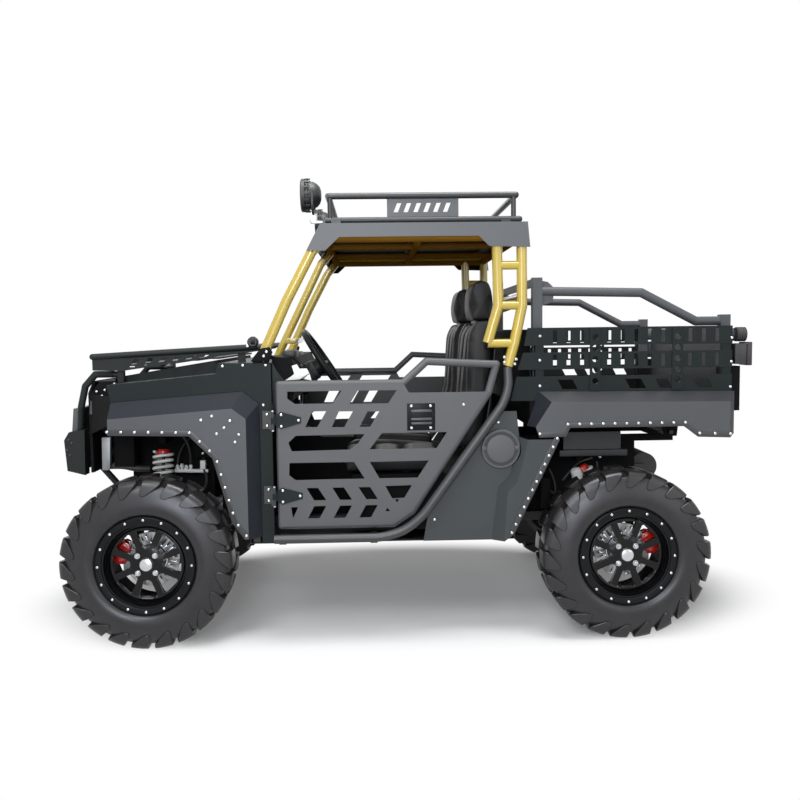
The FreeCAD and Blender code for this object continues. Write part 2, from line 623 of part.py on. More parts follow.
def hood_rack():
    """Tray on the hood: slotted side plates, top frame, slats and four legs."""
    y = HOOD_RACK_Y
    front, rear = (-1262.0, 1209.0), (-565.0, 1242.0)
    side = [(-1262, 1150), (-1132, 1147), (-590, 1222), rear, front]
    plates = pair(side_plate(side, -y - 2, SHEET))
    slots = []
    for i in range(6):
        x, low, high = -1105 + i * 60, 1163 + i * 7.5, 1198 + i * 2.5
        slots.append(slab([(x, -y - 20, low), (x + 22, -y - 20, low), (x + 44, -y - 20, high), (x + 22, -y - 20, high)],
                          (0, 2 * y + 40, 0)))
    plates = [p.cut(Part.makeCompound(slots)) for p in plates]
    loop = [(front[0], -y, front[1]), (rear[0], -y, rear[1]), (rear[0], y, rear[1]), (front[0], y, front[1]),
            (front[0], -y, front[1])]
    solids = plates + [tube_run(loop, 13)]
    solids.append(block(-1264, -1258, -y, y, 1150, 1209))
    for i in range(6):
        x = -1200 + i * 90
        z = 1160 + i * 6.5
        solids.append(block(x, x + 30, -y, y, z, z + 8))
    for s in (-1, 1):
        solids.append(block(-1160, -1135, s * 475 - 15, s * 475 + 15, 1096, 1176))
        solids.append(block(-640, -610, s * 475 - 15, s * 475 + 15, COWL_TOP + GAP, 1236))
    solids.append(rod((-578, -y - 10, 1268), (-560, -y - 10, 1268), 20))
    return fuse(solids)


# ---- cage and roof -------------------------------------------------------------------------------
CAGE_TOP = 1695.0
FOOT_T = 8.0
CROSS_R = 18.0            # cross tubes and rungs


def roll_cage():
    """Side hoops with a ladder behind the doors, cross tubes and a middle front bar."""
    r = CAGE_R
    foot = COWL_TOP + GAP + 10
    foot_x, brow_x, visor_x = FORE - 523, FORE - 303, FORE - 250
    feet = (foot_x - 33, foot_x + 33)
    solids = [block(*feet, -30, 30, COWL_TOP + GAP, COWL_TOP + GAP + 2 * FOOT_T)]
    for s in (-1, 1):
        y = s * CAGE_Y
        solids.append(tube_run([(foot_x, y, foot), (FORE - 410, y, 1434), (brow_x, y, 1634),
                                (visor_x, y, CAGE_TOP),
                                (577, y, CAGE_TOP), (578, y, 1402), (545, y, 1248), (517, y, 1150)], r))
        solids.append(block(*feet, y - 15, y + 15, COWL_TOP + GAP, COWL_TOP + GAP + 2 * FOOT_T))
        solids.append(tube_run([(472, y, CAGE_TOP), (478, y, 1403), (432, y, 1249)], r))
        for x0, x1, z in ((472, 577, 1572), (478, 578, 1405), (432, 545, 1246)):
            solids.append(rod((x0, y, z), (x1, y, z), CROSS_R))
    for x, z in ((visor_x, CAGE_TOP), (150, CAGE_TOP), (577, CAGE_TOP), (578, 1440)):
        solids.append(rod((x, -CAGE_Y, z), (x, CAGE_Y, z), CROSS_R))
    for s in (-1, 1):
        solids.append(rod((visor_x, s * 245, CAGE_TOP), (577, s * 245, CAGE_TOP), CROSS_R - 2))
    solids.append(tube_run([(foot_x, 0, foot), (brow_x, 0, 1634), (visor_x, 0, CAGE_TOP)], CROSS_R + 1))
    return fuse(solids)


ROOF_FRONT = FORE - 263.0
ROOF_OUTLINE = [(ROOF_FRONT, ROOF_TOP), (599, ROOF_TOP), (609, 1645), (438, 1650), (394, 1693),
                (ROOF_FRONT + 78, 1693), (ROOF_FRONT + 19, 1638), (ROOF_FRONT - 59, 1639)]


def roof_panel():
    """Top sheet with side flaps, front visor and rear lip, resting on the cage."""
    under = CAGE_TOP + CAGE_R
    top = block(ROOF_FRONT, 599, -ROOF_Y, ROOF_Y, ROOF_TOP - SHEET, ROOF_TOP)
    flaps = pair(side_plate(ROOF_OUTLINE, -ROOF_Y, SHEET * 0.5))
    visor = slab([(ROOF_FRONT, -ROOF_Y, ROOF_TOP), (ROOF_FRONT - 40, -ROOF_Y, 1674),
                  (ROOF_FRONT - 40, ROOF_Y, 1674), (ROOF_FRONT, ROOF_Y, ROOF_TOP)], (SHEET, 0, 0))
    ribs = [block(x - 20, x + 20, -ROOF_Y + 10, ROOF_Y - 10, under, ROOF_TOP - SHEET / 2)
            for x in (150, 560)]
    return fuse([top, visor] + flaps + ribs)


def roof_rack():
    """Two loops of tube, posts, side plates with slanted slots, slats and feet."""
    y, r = RACK_Y, RACK_R
    low, high = 1773.0, 1875.0
    solids = []
    for z, x0, x1 in ((low, ROOF_FRONT + 18, 580), (high, ROOF_FRONT + 31, 565)):
        loop = [(x0, -y, z), (x1, -y, z), (x1, y, z), (x0, y, z), (x0, -y, z)]
        solids.append(tube_run(loop, r))
    for s in (-1, 1):
        for x in (ROOF_FRONT + 38, 555):
            solids.append(rod((x, s * y, low), (x, s * y, high), r * 0.8))
        plate = side_plate([(16, low), (320, low), (320, high), (16, high)], s * y - 2, SHEET)
        slots = []
        for i in range(6):
            x = 44 + i * 42
            slots.append(slab([(x, s * y - 20, 1806), (x + 18, s * y - 20, 1806), (x + 33, s * y - 20, 1844),
                               (x + 15, s * y - 20, 1844)], (0, 40, 0)))
        solids.append(plate.cut(Part.makeCompound(slots)))
        for x in (ROOF_FRONT + 63, 520):
            solids.append(block(x - 20, x + 20, s * y - 18, s * y + 18, ROOF_TOP, low))
    first, slats = ROOF_FRONT + 113, 7
    for i in range(slats):
        x = first + i * (480 - first) / (slats - 1)
        solids.append(block(x, x + 24, -y, y, low - 4, low + 4))
    return fuse(solids)


LAMP_Y = 450.0


def roof_lamps():
    """Round spot lamps on brackets at the rack's front tube."""
    lamp = rod((-356, -LAMP_Y, 1895), (-300, -LAMP_Y, 1895), 71)
    back = rod((-301, -LAMP_Y, 1895), (-266, -LAMP_Y, 1895), 48)
    stay = block(-322, -298, -LAMP_Y - 14, -LAMP_Y + 14, 1776, 1830)
    foot = block(-322, -245 - RACK_R * 0.5, -LAMP_Y - 14, -LAMP_Y + 14, 1765, 1781)
    clamp = rod((-245, -LAMP_Y - 14, 1773), (-245, -LAMP_Y + 14, 1773), RACK_R + 6)
    bar = rod((-245, -LAMP_Y - 40, 1773), (-245, -LAMP_Y + 40, 1773), RACK_R)
    return both(fuse([lamp, back, stay, foot, clamp]).cut(bar))


# ---- sides and doors -----------------------------------------------------------------------------
def side_bar():
    """Tube from the cage down along the door and under the sill, with its stays, left side."""
    path = [(517, -CAGE_Y, 1150), (515, -664, 1025), (125, -BAR_Y, 503), (8, -BAR_Y, 444),
            (HINGE_X - 2, -BAR_Y, 444)]
    tip = rod((545, -CAGE_Y, 1248), (516.6, -CAGE_Y, 1148.6), CAGE_R + GAP)
    solids = [tube_run(path, BAR_R).cut(tip)]
    for x in (FORE - 440, -60):
        solids.append(block(x - 15, x + 15, -BAR_Y, -SIDE_Y + 30, MAIN_Z - 5, MAIN_Z + 25))
    return fuse(solids)


DOOR_FRONT = HINGE_X + 26.0
DOOR_OUTLINE = [(DOOR_FRONT, 491), (DOOR_FRONT, 1086), (72, 1086), (170, 1175), (463, 1159), (430, 1041), (105, 545),
                (22, 491)]
DOOR_CUTS = [
    [(-411, 1058), (-186, 1058), (-223, 1006), (-379, 1006), (-411, 1028)],
    [(-118, 1058), (45, 1058), (8, 1003), (-153, 1003)],
    [(-309, 974), (-251, 974), (-289, 908), (-339, 908)],
    [(-198, 972), (-140, 972), (-177, 906), (-229, 906)],
    [(-79, 970), (-30, 970), (-69, 906), (-113, 906)],
    [(-379, 873), (-411, 844), (-397, 808), (-156, 811), (-122, 835), (-93, 876)],
    [(-20, 879), (253, 879), (208, 811), (-73, 811)],
    [(-408, 759), (-139, 759), (-95, 688), (-384, 686), (-410, 707)],
    [(-73, 758), (175, 760), (127, 688), (-33, 688)],
    [(-339, 652), (-291, 652), (-257, 599), (-308, 599)],
    [(-231, 652), (-183, 652), (-149, 599), (-200, 599)],
    [(-122, 652), (-73, 652), (-41, 600), (-89, 600)],
    [(-9, 655), (103, 657), (70, 603), (19, 602)],
    [(-308, 575), (-258, 575), (-287, 523), (-336, 523)],
    [(-200, 575), (-150, 575), (-179, 523), (-228, 523)],
    [(-92, 575), (-42, 575), (-71, 523), (-120, 523)],
    [(-405, 572), (-376, 572), (-398, 524)],
    [(30, 598), (48, 598), (40, 584)],
    [(-10, 548), (10, 548), (-2, 563)],
]
HINGES = (938.0, 620.0)
HINGE_H = 76.0
CUTS_END = 100.0          # behind this a longer door has its cut-outs in the same place


def spread(x):
    """Place of a cut-out's corner on a door whose hinge has moved forward or back."""
    return x + FORE * max(0.0, CUTS_END - x) / (CUTS_END - DOOR_FRONT + FORE)


def door():
    """Tube frame with a cut-out skin, hinge straps and latch, left side."""
    y_tube = -DOOR_Y + DOOR_TUBE_R + 4
    loop = [(x, y_tube, z) for x, z in DOOR_OUTLINE]
    frame = tube_run(loop + loop[:1], DOOR_TUBE_R)
    corner = Part.makeSphere(DOOR_TUBE_R, V(*loop[0]))
    skin = side_plate([(DOOR_FRONT - 6, 490), (DOOR_FRONT - 6, 1086), (72, 1086), (95, 1046), (428, 1046), (426, 1041),
                       (105, 548), (22, 491)], -DOOR_Y, SHEET)
    cuts = [side_plate([(spread(x), z) for x, z in outline], -DOOR_Y - 10, 40) for outline in DOOR_CUTS]
    skin = skin.cut(Part.makeCompound(cuts))
    latch = block(97, 194, -DOOR_Y - 6, -DOOR_Y + 2, 915, 975)
    solids = [frame, corner, skin, latch]
    for z in HINGES:
        third = HINGE_H / 3 - 2 * GAP
        barrel = Part.makeCylinder(7, third, V(HINGE_X, -HINGE_Y, z - third / 2), V(0, 0, 1))
        strap = side_plate([(HINGE_X, z - third / 2), (HINGE_X + 32, z - 36), (HINGE_X + 116, z - 12),
                            (HINGE_X + 116, z + 12), (HINGE_X + 32, z + 36), (HINGE_X, z + third / 2)],
                           -DOOR_Y - SHEET, SHEET)
        bore = Part.makeCylinder(3 + FIT, 200, V(HINGE_X, -HINGE_Y, z - 100), V(0, 0, 1))
        solids.append(fuse([barrel, block(HINGE_X, HINGE_X + 12, -HINGE_Y - 3, -DOOR_Y,
                                          z - third / 2, z + third / 2), strap]).cut(bore))
    return fuse(solids)


def hinge_leaves():
    """Fixed halves of both hinges with their pins, left side."""
    solids = []
    for z in HINGES:
        third = HINGE_H / 3
        pieces = [Part.makeCylinder(3, HINGE_H, V(HINGE_X, -HINGE_Y, z - HINGE_H / 2), V(0, 0, 1))]
        for sign in (-1, 1):
            middle = z + sign * third
            pieces.append(Part.makeCylinder(7, third, V(HINGE_X, -HINGE_Y, middle - third / 2), V(0, 0, 1)))
            pieces.append(block(HINGE_X - 12, HINGE_X - 2, -HINGE_Y - 5, -SIDE_Y - 2,
                                middle - third / 2, middle + third / 2))
        pieces.append(block(HINGE_X - 48, HINGE_X - 10, -SIDE_Y - 6, -SIDE_Y, z - HINGE_H / 2, z + HINGE_H / 2))
        solids.append(fuse(pieces))
    return solids


LINER_Y = 480.0           # inner edge of the rear wheel liner


def quarter_panel():
    """Side behind the door with its bevelled flare and the wheel liner, left side."""
    y_in, y_out = -SIDE_Y - 12, -FLARE_Y
    flat = [(150, SILL_Z), (REAR_X - 560, SILL_Z), (REAR_X - 530, 640), (REAR_X - 480, 690), (REAR_X - 440, 850),
            (549, 960), (475, 960), (170, 520)]
    flare = [(REAR_X + x, z) for x, z in ((-510, SILL_Z), (-470, 440), (-277, 842), (-408, 842), (-451, 668),
                                          (-495, 620))]
    solids = [side_plate(flat, y_in, SHEET), side_plate(flare, y_out, SHEET)]
    front = [(REAR_X - 560, SILL_Z), (REAR_X - 530, 640), (REAR_X - 480, 690), (REAR_X - 440, 850)]
    rear = [(REAR_X - 510, SILL_Z), (REAR_X - 495, 620), (REAR_X - 451, 668), (REAR_X - 408, 842)]
    for a, b, c, d in zip(front, front[1:], rear[1:], rear):
        solids.append(band([at(a, y_in), at(b, y_in), at(c, y_out), at(d, y_out)], (0, SHEET, 0)))
    low, high = (REAR_X - 440, 502.5), (REAR_X - 277, 842)
    solids.append(band([at(low, y_out), at(high, y_out), at(high, -LINER_Y), at(low, -LINER_Y)], (-SHEET, 0, 0)))
    return fuse(solids)


CAP_X, CAP_Z, CAP_R, CAP_T = 481.0, 802.0, 84.0, 12.0


def fuel_cap(room=0.0, thick=CAP_T):
    """Round cap on the left side; with room it cuts its seat in the bevel beside it."""
    y = -SIDE_Y - 12
    return rod((CAP_X, y, CAP_Z), (CAP_X, y - thick, CAP_Z), CAP_R + room)


# ---- bed -----------------------------------------------------------------------------------------
BED_FLOOR_Z = 890.0
ANCHOR_X = REAR_X + 50.0             # middle of the four tie-down holes in the bed's floor
ANCHOR_L, ANCHOR_W, ANCHOR_R = 600.0, 800.0, 5.5
BED_FRONT_X = 612.0
SILL_TOP = 1045.0
POST_Y0, POST_Y1 = 530.0, 585.0      # rear corner posts
LAMP_LOW = 1135.0
GATE_HALF = 498.0
BOARDS = (                # name: bottom z, top z, front x low, front x high
    (1233.0, 1309.0, 587.0, 602.0),
    (1132.0, 1205.0, 559.0, 583.0),
    (1000.0, 1103.0, 529.0, 555.0),
)
BOARD_END_X = GATE_X - 16
POST_X0, POST_X1 = GATE_X - 49, GATE_X - 7         # rear corner posts


def bed_tub():
    """Floor, head wall and inner sills of the tilting bed, with its pivot ears."""
    wide = BED_Y - SHEET
    solids = [block(BED_FRONT_X, GATE_X - 8, -wide, wide, BED_FLOOR_Z, BED_FLOOR_Z + SHEET)]
    solids.append(block(BED_FRONT_X, BED_FRONT_X + SHEET, -wide, wide, BED_FLOOR_Z, 1300))
    solids += pair(block(BED_FRONT_X, GATE_X - 8, -wide, -wide + SHEET, BED_FLOOR_Z, SILL_TOP))
    solids += pair(block(POST_X0, GATE_X - 6, -POST_Y1, -POST_Y0, BED_FLOOR_Z, LAMP_LOW - GAP))
    solids += pair(block(GATE_X - 8, GATE_X + 34, -POST_Y1, -POST_Y0, 942, LAMP_LOW - GAP))
    ears = pair(block(GATE_X - 26, GATE_X + 30, -POST_Y0 - 5, -GATE_HALF - 2, BED_FLOOR_Z, GATE_PIVOT_Z + 20))
    bar = rod((GATE_X + 12, -600, GATE_PIVOT_Z), (GATE_X + 12, 600, GATE_PIVOT_Z), 10 + FIT)
    solids += [ear.cut(bar) for ear in ears]
    solids += pair(block(640, GATE_X - 30, -330, -290, BED_FLOOR_Z - 36, BED_FLOOR_Z))
    ear = side_plate([(BED_PIVOT_X - 30, BED_PIVOT_Z - 20), (BED_PIVOT_X + 30, BED_PIVOT_Z - 20),
                      (BED_PIVOT_X + 40, BED_FLOOR_Z), (BED_PIVOT_X - 40, BED_FLOOR_Z)], -300, 10)
    solids += pair(ear)
    whole = fuse(solids)
    for sx in (-1, 1):
        for sy in (-1, 1):
            x, y = ANCHOR_X + sx * ANCHOR_L / 2, sy * ANCHOR_W / 2
            whole = whole.cut(rod((x, y, BED_FLOOR_Z - 10), (x, y, BED_FLOOR_Z + 20), ANCHOR_R))
    return whole.cut(rod((BED_PIVOT_X, -400, BED_PIVOT_Z), (BED_PIVOT_X, 400, BED_PIVOT_Z), 10 + FIT))


def bed_pivot():
    """Cross shaft of the bed with the stands that carry it on the frame."""
    shaft = rod((BED_PIVOT_X, -312, BED_PIVOT_Z), (BED_PIVOT_X, 312, BED_PIVOT_Z), 10)
    stands = pair(block(BED_PIVOT_X - 14, BED_PIVOT_X + 14, -SUB_Y - 20, -SUB_Y + 20,
                        BED_RAIL_Z - 20, BED_PIVOT_Z + 14))
    return fuse([shaft] + stands)


def bed_fender():
    """Outer fender of the bed with its bevels, left side."""
    y_out, y_in = -FLARE_Y, -BED_Y - SHEET
    back, tail = POST_X0, GATE_X - 6
    face = [(638, 850), (REAR_X - 250, 852), (REAR_X - 232, 889), (back - 198, 889), (back - 137, 843),
            (back, 838), (back, 991), (690, 999), (623, 894)]
    solids = [side_plate(face, y_out, SHEET)]
    inner = (0, SHEET, 0)
    solids.append(band([(690, y_out, 999), (back, y_out, 991), (tail, y_in, 1030), (650, y_in, 1039)], inner))
    solids.append(band([(back, y_out, 991), (back, y_out, 838), (tail, y_in, 847), (tail, y_in, 1030)], inner))
    solids.append(band([(690, y_out, 999), (623, y_out, 894), (598, y_in, 894), (650, y_in, 1039)], inner))
    return fuse(solids)


SLOT_PITCH, SLOT_W, SLOT_H = 58.0, 17.0, 54.0
STRAPS = (REAR_X - 110.0, GATE_X - 253.0)
STRAP_W, STRAP_HOLE_R = 46.0, 13.0


def bed_sides():
    """Three boards with their slots on two straps with round holes, left side."""
    y = -BED_Y
    solids, cuts = [], []
    for z0, z1, x0, x1 in BOARDS:
        solids.append(side_plate([(x0, z0), (x1, z1), (BOARD_END_X, z1), (BOARD_END_X, z0)], y, SHEET))
    for x in STRAPS:
        solids.append(block(x - STRAP_W / 2, x + STRAP_W / 2, y - 6, y, 1039, 1306))
        cuts += [rod((x, y - 20, 1081 + i * 46.5), (x, y + 20, 1081 + i * 46.5), STRAP_HOLE_R) for i in range(5)]
    for z0, z1, _, _ in BOARDS[:2]:
        middle = (z0 + z1) / 2
        for i in range(13):
            x = BED_FRONT_X + 107 + i * SLOT_PITCH
            if min(abs(x - strap) for strap in STRAPS) > STRAP_W / 2 + SLOT_W and x < BOARD_END_X - 50:
                cuts.append(block(x - SLOT_W / 2, x + SLOT_W / 2, y - 2, y + 10,
                                  middle - SLOT_H / 2, middle + SLOT_H / 2))
    for x, w in ((730, 64), (1020, 68), (1150, 50), (1312, 62)):
        cuts.append(side_plate([(x, 1088), (x + w, 1088), (x + w + 22, 1046), (x + 22, 1046)], y - 2, 12))
    solids = [fuse(solids).cut(Part.makeCompound(cuts))]
    for x0, x1 in ((636.0, 672.0), (GATE_X - 56, GATE_X - 20)):
        solids.append(block(x0, x1, y + SHEET, y + SHEET + 30, SILL_TOP + GAP, 1309))
    return fuse(solids)


def bed_rails():
    """Front hoop, side rails and rear posts above the bed."""
    y = 556.0
    solids = []
    for s in (-1, 1):
        solids.append(block(632, 674, s * y - 21, s * y + 21, BED_FLOOR_Z + SHEET, 1523))
        solids.append(tube_run([(650, s * y, 1466), (GATE_X - 391, s * y, 1455), (GATE_X - 152, s * y, 1330),
                                (GATE_X - 26, s * y, 1330)], RAIL_R))
        solids.append(side_plate([(670, 1511), (700, 1505), (721, 1485), (727, 1455), (721, 1420), (670, 1402)],
                                 s * y - 6, 12))
        solids.append(rod((POST_X1 - 5, s * y, 1270), (POST_X1 + 50, s * y, 1270), 28))
        solids.append(block(POST_X0, POST_X1, s * y - 21, s * y + 21, LAMP_LOW, 1357))
    solids.append(block(638, 668, -y, y, 1490, 1520))
    return fuse(solids)


def tail_lamps():
    """Lamp boxes at the rear corners."""
    box = block(GATE_X - 4, TAIL_X, -BED_Y, -POST_Y0, LAMP_LOW, LAMP_LOW + 99)
    return both(box)


def tailgate():
    """Drop-down panel with its hinge tube."""
    panel = block(GATE_X, GATE_X + 24, -GATE_HALF, GATE_HALF, GATE_PIVOT_Z + 8, 1300)
    reach = POST_Y0 - 10
    hinge = rod((GATE_X + 12, -reach, GATE_PIVOT_Z), (GATE_X + 12, reach, GATE_PIVOT_Z), 10)
    return fuse([panel, hinge])


def air_box():
    low = REAR_TOWER_Z + 30 + GAP
    lid = block(REAR_X - 228, REAR_X + 77, -470, -230, low, low + 30)
    box = block(REAR_X - 210, REAR_X + 50, -460, -240, low + 24, low + 111)
    return fuse([lid, box])


def exhaust():
    """Silencer across the tail with its outlet."""
    x = REAR_X + 245
    can = rod((x, -170, 640), (x, 170, 640), 65)
    pipe = rod((x, 100, 600), (x + 85, 100, 600), 20)
    stay = pair(block(REAR_X + SUB_HALF + 15 + GAP, x, -195, -165, 625, 655))
    return fuse([can, pipe] + stay)


def main():
    os.makedirs("parts", exist_ok=True)
    left_wheel_f, left_wheel_r = (FRONT_X, -HUB_Y, TYRE_R), (REAR_X, -HUB_Y, TYRE_R)
    tyre_shape, rim_shape = tyre((0, 0, 0)), rim((0, 0, 0))
    for end, centre in (("f", left_wheel_f), ("r", left_wheel_r)):
        for name, shape in (("tyre", tyre_shape), ("rim", rim_shape)):
            left = shape.copy()
            left.translate(V(*centre))
            place("%s_%sl" % (name, end), left)
            place("%s_%sr" % (name, end), mirrored(left))
    sided = {"knuckle_f": knuckle(FRONT_X, True, True), "door_": door(), "seat_": seat()}
    for name, shape in sided.items():
        place(name + "l", shape)
        place(name + "r", mirrored(shape))
    place("cowl_sides", both(cowl_side()), FORE)
    place("front_fenders", both(front_fender()), FORE)
    place("side_bars", both(side_bar()))
    panel = quarter_panel()
    place("quarter_panels", Part.makeCompound([panel.cut(fuel_cap(GAP, 5 * CAP_T)), mirrored(panel)]))
    place("bed_fenders", both(bed_fender()))
    front_arms, rear_arms = arms(FRONT_X, True), arms(REAR_X, False)
    place("front_arms", Part.makeCompound(front_arms + [mirrored(a) for a in front_arms]))
    place("rear_arms", Part.makeCompound(rear_arms + [mirrored(a) for a in rear_arms]))
    shocks = [shock(FRONT_X, FRONT_X, SUB_TOP - 15), shock(REAR_X, REAR_TOWER_X, REAR_TOWER_Z)]
    place("coil_overs", Part.makeCompound(shocks + [mirrored(a) for a in shocks]))
    place("rear_hub_carriers", both(knuckle(REAR_X, False, False)))
    place("drive_axles", Part.makeCompound([axle_shafts(FRONT_X), axle_shafts(REAR_X)]))
    place("door_hinges", Part.makeCompound(hinge_leaves() + [mirrored(h) for h in hinge_leaves()]))
    place("bed_side_boards", both(bed_sides()))
    nose = {"hood": hood, "cowl_top": cowl_top, "dash": dash, "steering_column": steering_column,
            "steering_wheel": steering_wheel, "front_fascia": front_fascia, "headlamps": headlamps,
            "bumper": bumper, "winch": winch, "hood_rack": hood_rack, "roof_lamps": roof_lamps}
    for name, make in nose.items():
        place(name, make(), FORE)
    rest = {"main_frame": main_frame, "front_frame": front_frame, "rear_frame": rear_frame,
            "rack_housing": rack_housing, "rack_bar": rack_bar,
            "engine": engine, "floor_pan": floor_pan, "console": console, "seat_base": seat_base,
            "roll_cage": roll_cage,
            "roof_panel": roof_panel, "roof_rack": roof_rack, "fuel_cap": fuel_cap, "bed_tub": bed_tub,
            "bed_pivot": bed_pivot, "bed_rails": bed_rails, "tail_lamps": tail_lamps,
            "tailgate": tailgate, "air_box": air_box, "exhaust": exhaust}
    for name, make in rest.items():
        place(name, make())


main()
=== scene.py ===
import json
import math

import bpy
from mathutils import Matrix, Vector

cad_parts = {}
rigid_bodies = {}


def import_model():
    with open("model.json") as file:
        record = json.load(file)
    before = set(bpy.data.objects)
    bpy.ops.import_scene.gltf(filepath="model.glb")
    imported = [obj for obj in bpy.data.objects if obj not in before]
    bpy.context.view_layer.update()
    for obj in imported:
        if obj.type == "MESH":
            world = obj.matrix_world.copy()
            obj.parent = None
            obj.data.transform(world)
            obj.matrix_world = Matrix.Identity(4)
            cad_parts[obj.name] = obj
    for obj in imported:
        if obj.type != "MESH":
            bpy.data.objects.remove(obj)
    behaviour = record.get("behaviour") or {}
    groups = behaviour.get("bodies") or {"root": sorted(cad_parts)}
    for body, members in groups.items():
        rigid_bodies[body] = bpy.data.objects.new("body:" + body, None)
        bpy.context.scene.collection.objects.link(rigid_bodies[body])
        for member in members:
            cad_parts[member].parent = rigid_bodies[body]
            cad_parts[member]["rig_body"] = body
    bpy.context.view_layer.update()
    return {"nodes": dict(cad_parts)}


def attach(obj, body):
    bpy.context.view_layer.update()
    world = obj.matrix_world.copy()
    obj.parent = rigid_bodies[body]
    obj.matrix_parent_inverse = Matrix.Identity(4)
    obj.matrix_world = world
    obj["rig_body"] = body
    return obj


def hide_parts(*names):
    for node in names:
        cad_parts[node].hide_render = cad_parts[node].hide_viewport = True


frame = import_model()
nodes = frame["nodes"]
sides = (("left", -1), ("right", 1))
middleX = 68             # middle of the overall length, from the middle of the wheelbase
weld = 0.00005           # metres within which doubled corners become one


def at(x, y, z):
    # millimetres, x from the middle of the wheelbase, to metres in the row's frame
    return Vector(((x - middleX) / 1000, y / 1000, z / 1000))


def lengthwise(x):
    return at(x, 0, 0).x


def clear():
    if bpy.context.object and bpy.context.object.mode != "OBJECT":
        bpy.ops.object.mode_set(mode="OBJECT")
    bpy.ops.object.select_all(action="DESELECT")


def pick(*pieces):
    clear()
    for piece in pieces:
        piece.select_set(True)
    bpy.context.view_layer.objects.active = pieces[0]


def edit(piece, test=None):
    # opens the piece in edit mode with the faces that pass the test selected, or all of it
    pick(piece)
    bpy.ops.object.mode_set(mode="EDIT")
    bpy.ops.mesh.select_mode(type="FACE")
    bpy.ops.mesh.select_all(action="SELECT" if test is None else "DESELECT")
    if test is not None:
        bpy.ops.object.mode_set(mode="OBJECT")
        for face in piece.data.polygons:
            face.select = test(face)
        bpy.ops.object.mode_set(mode="EDIT")


def editEdges(piece, test):
    # opens the piece in edit mode with the edges that pass the test selected
    pick(piece)
    bpy.ops.object.mode_set(mode="EDIT")
    bpy.ops.mesh.select_mode(type="EDGE")
    bpy.ops.mesh.select_all(action="DESELECT")
    bpy.ops.object.mode_set(mode="OBJECT")
    for edge in piece.data.edges:
        edge.select = test(edge)
    bpy.ops.object.mode_set(mode="EDIT")


def done(piece, angle=28):
    # shades the faces smooth wherever they meet at less than the angle
    pick(piece)
    bpy.ops.object.shade_smooth_by_angle(angle=math.radians(angle))
    return piece


def shape(piece, kind, **settings):
    # adds a modifier with its settings and applies it
    pick(piece)
    modifier = piece.modifiers.new(kind.lower(), kind)
    for key, value in settings.items():
        setattr(modifier, key, value)
    bpy.ops.object.modifier_apply(modifier=modifier.name)
    return piece


def ease(piece, width, segments=2, angle=38):
    # rounds the hard edges; width in millimetres
    return shape(piece, "BEVEL", width=width / 1000, segments=segments, limit_method="ANGLE",
                 angle_limit=math.radians(angle), use_clamp_overlap=True)


def outline(name, corners):
    # a filled circle with as many corners as the shape, each moved to its place
    clear()
    bpy.ops.mesh.primitive_circle_add(vertices=len(corners), fill_type="NGON")
    piece = bpy.context.object
    piece.name = name
    for vertex, corner in zip(piece.data.vertices, corners):
        vertex.co = corner
    return piece


def outwards(piece):
    # one skin, with all its faces turned out
    edit(piece)
    bpy.ops.mesh.remove_doubles(threshold=weld)
    bpy.ops.mesh.normals_make_consistent(inside=False)
    clear()


def plate(name, corners, push, edge=1.2, segments=2):
    # an outline pushed out to its thickness, with eased edges
    piece = outline(name, corners)
    edit(piece)
    bpy.ops.mesh.extrude_region_move(TRANSFORM_OT_translate={"value": push})
    outwards(piece)
    if edge:
        ease(piece, edge, segments)
    return done(piece)


def sidePlate(name, points, y, thick, edge=1.2):
    # a plate that lies along the side: points are x, z
    return plate(name, [at(x, y, z) for x, z in points], (0, thick / 1000, 0), edge)


def boxPiece(name, low, high, edge=1.5):
    # a block between two corners
    (x0, y0, z0), (x1, y1, z1) = low, high
    return plate(name, [at(x0, y0, z0), at(x1, y0, z0), at(x1, y1, z0), at(x0, y1, z0)],
                 (0, 0, (z1 - z0) / 1000), edge)


def lathe(name, profile, steps=64, axis=(0, 1, 0)):
    # profile of (radius, distance along the axis) in millimetres, spun about an axis through the origin
    along = Vector(axis)
    out = Vector((1, 0, 0)) if abs(along.x) < 0.5 else Vector((0, 0, 1))
    corners = [(out * radius + along * distance) / 1000 for radius, distance in profile]
    piece = outline(name, corners)
    edit(piece)
    bpy.ops.mesh.delete(type="ONLY_FACE")
    bpy.ops.mesh.select_all(action="SELECT")
    bpy.ops.mesh.spin(steps=steps, angle=math.tau, center=(0, 0, 0), axis=axis)
    bpy.ops.mesh.select_all(action="SELECT")
    bpy.ops.mesh.remove_doubles(threshold=weld)
    bpy.ops.mesh.delete_loose(use_verts=True, use_edges=True, use_faces=False)
    bpy.ops.mesh.select_all(action="SELECT")
    bpy.ops.mesh.normals_make_consistent(inside=False)
    return done(piece)


def moved(piece, matrix):
    # places the mesh itself, so that the object stays at the origin
    piece.data.transform(matrix)
    if matrix.determinant() < 0:
        piece.data.flip_normals()
    return piece


def twin(piece, name, matrix):
    # a copy with its own mesh, placed by the matrix
    copy = bpy.data.objects.new(name, piece.data.copy())
    bpy.context.scene.collection.objects.link(copy)
    return moved(copy, matrix)


def joined(name, pieces):
    pick(*pieces)
    if len(pieces) > 1:
        bpy.ops.object.join()
    whole = bpy.context.object
    whole.name = name
    return whole


def drop(*pieces):
    for piece in pieces:
        bpy.data.objects.remove(piece)


def aim(direction, place):
    # matrix that stands a piece made along z at a place, pointing a way
    return Matrix.Translation(place) @ Vector(direction).to_track_quat("Z", "Y").to_matrix().to_4x4()


mirror = Matrix.Diagonal((1, -1, 1, 1))
toSide = {"left": Matrix.Identity(4), "right": mirror}      # pieces are drawn on the left


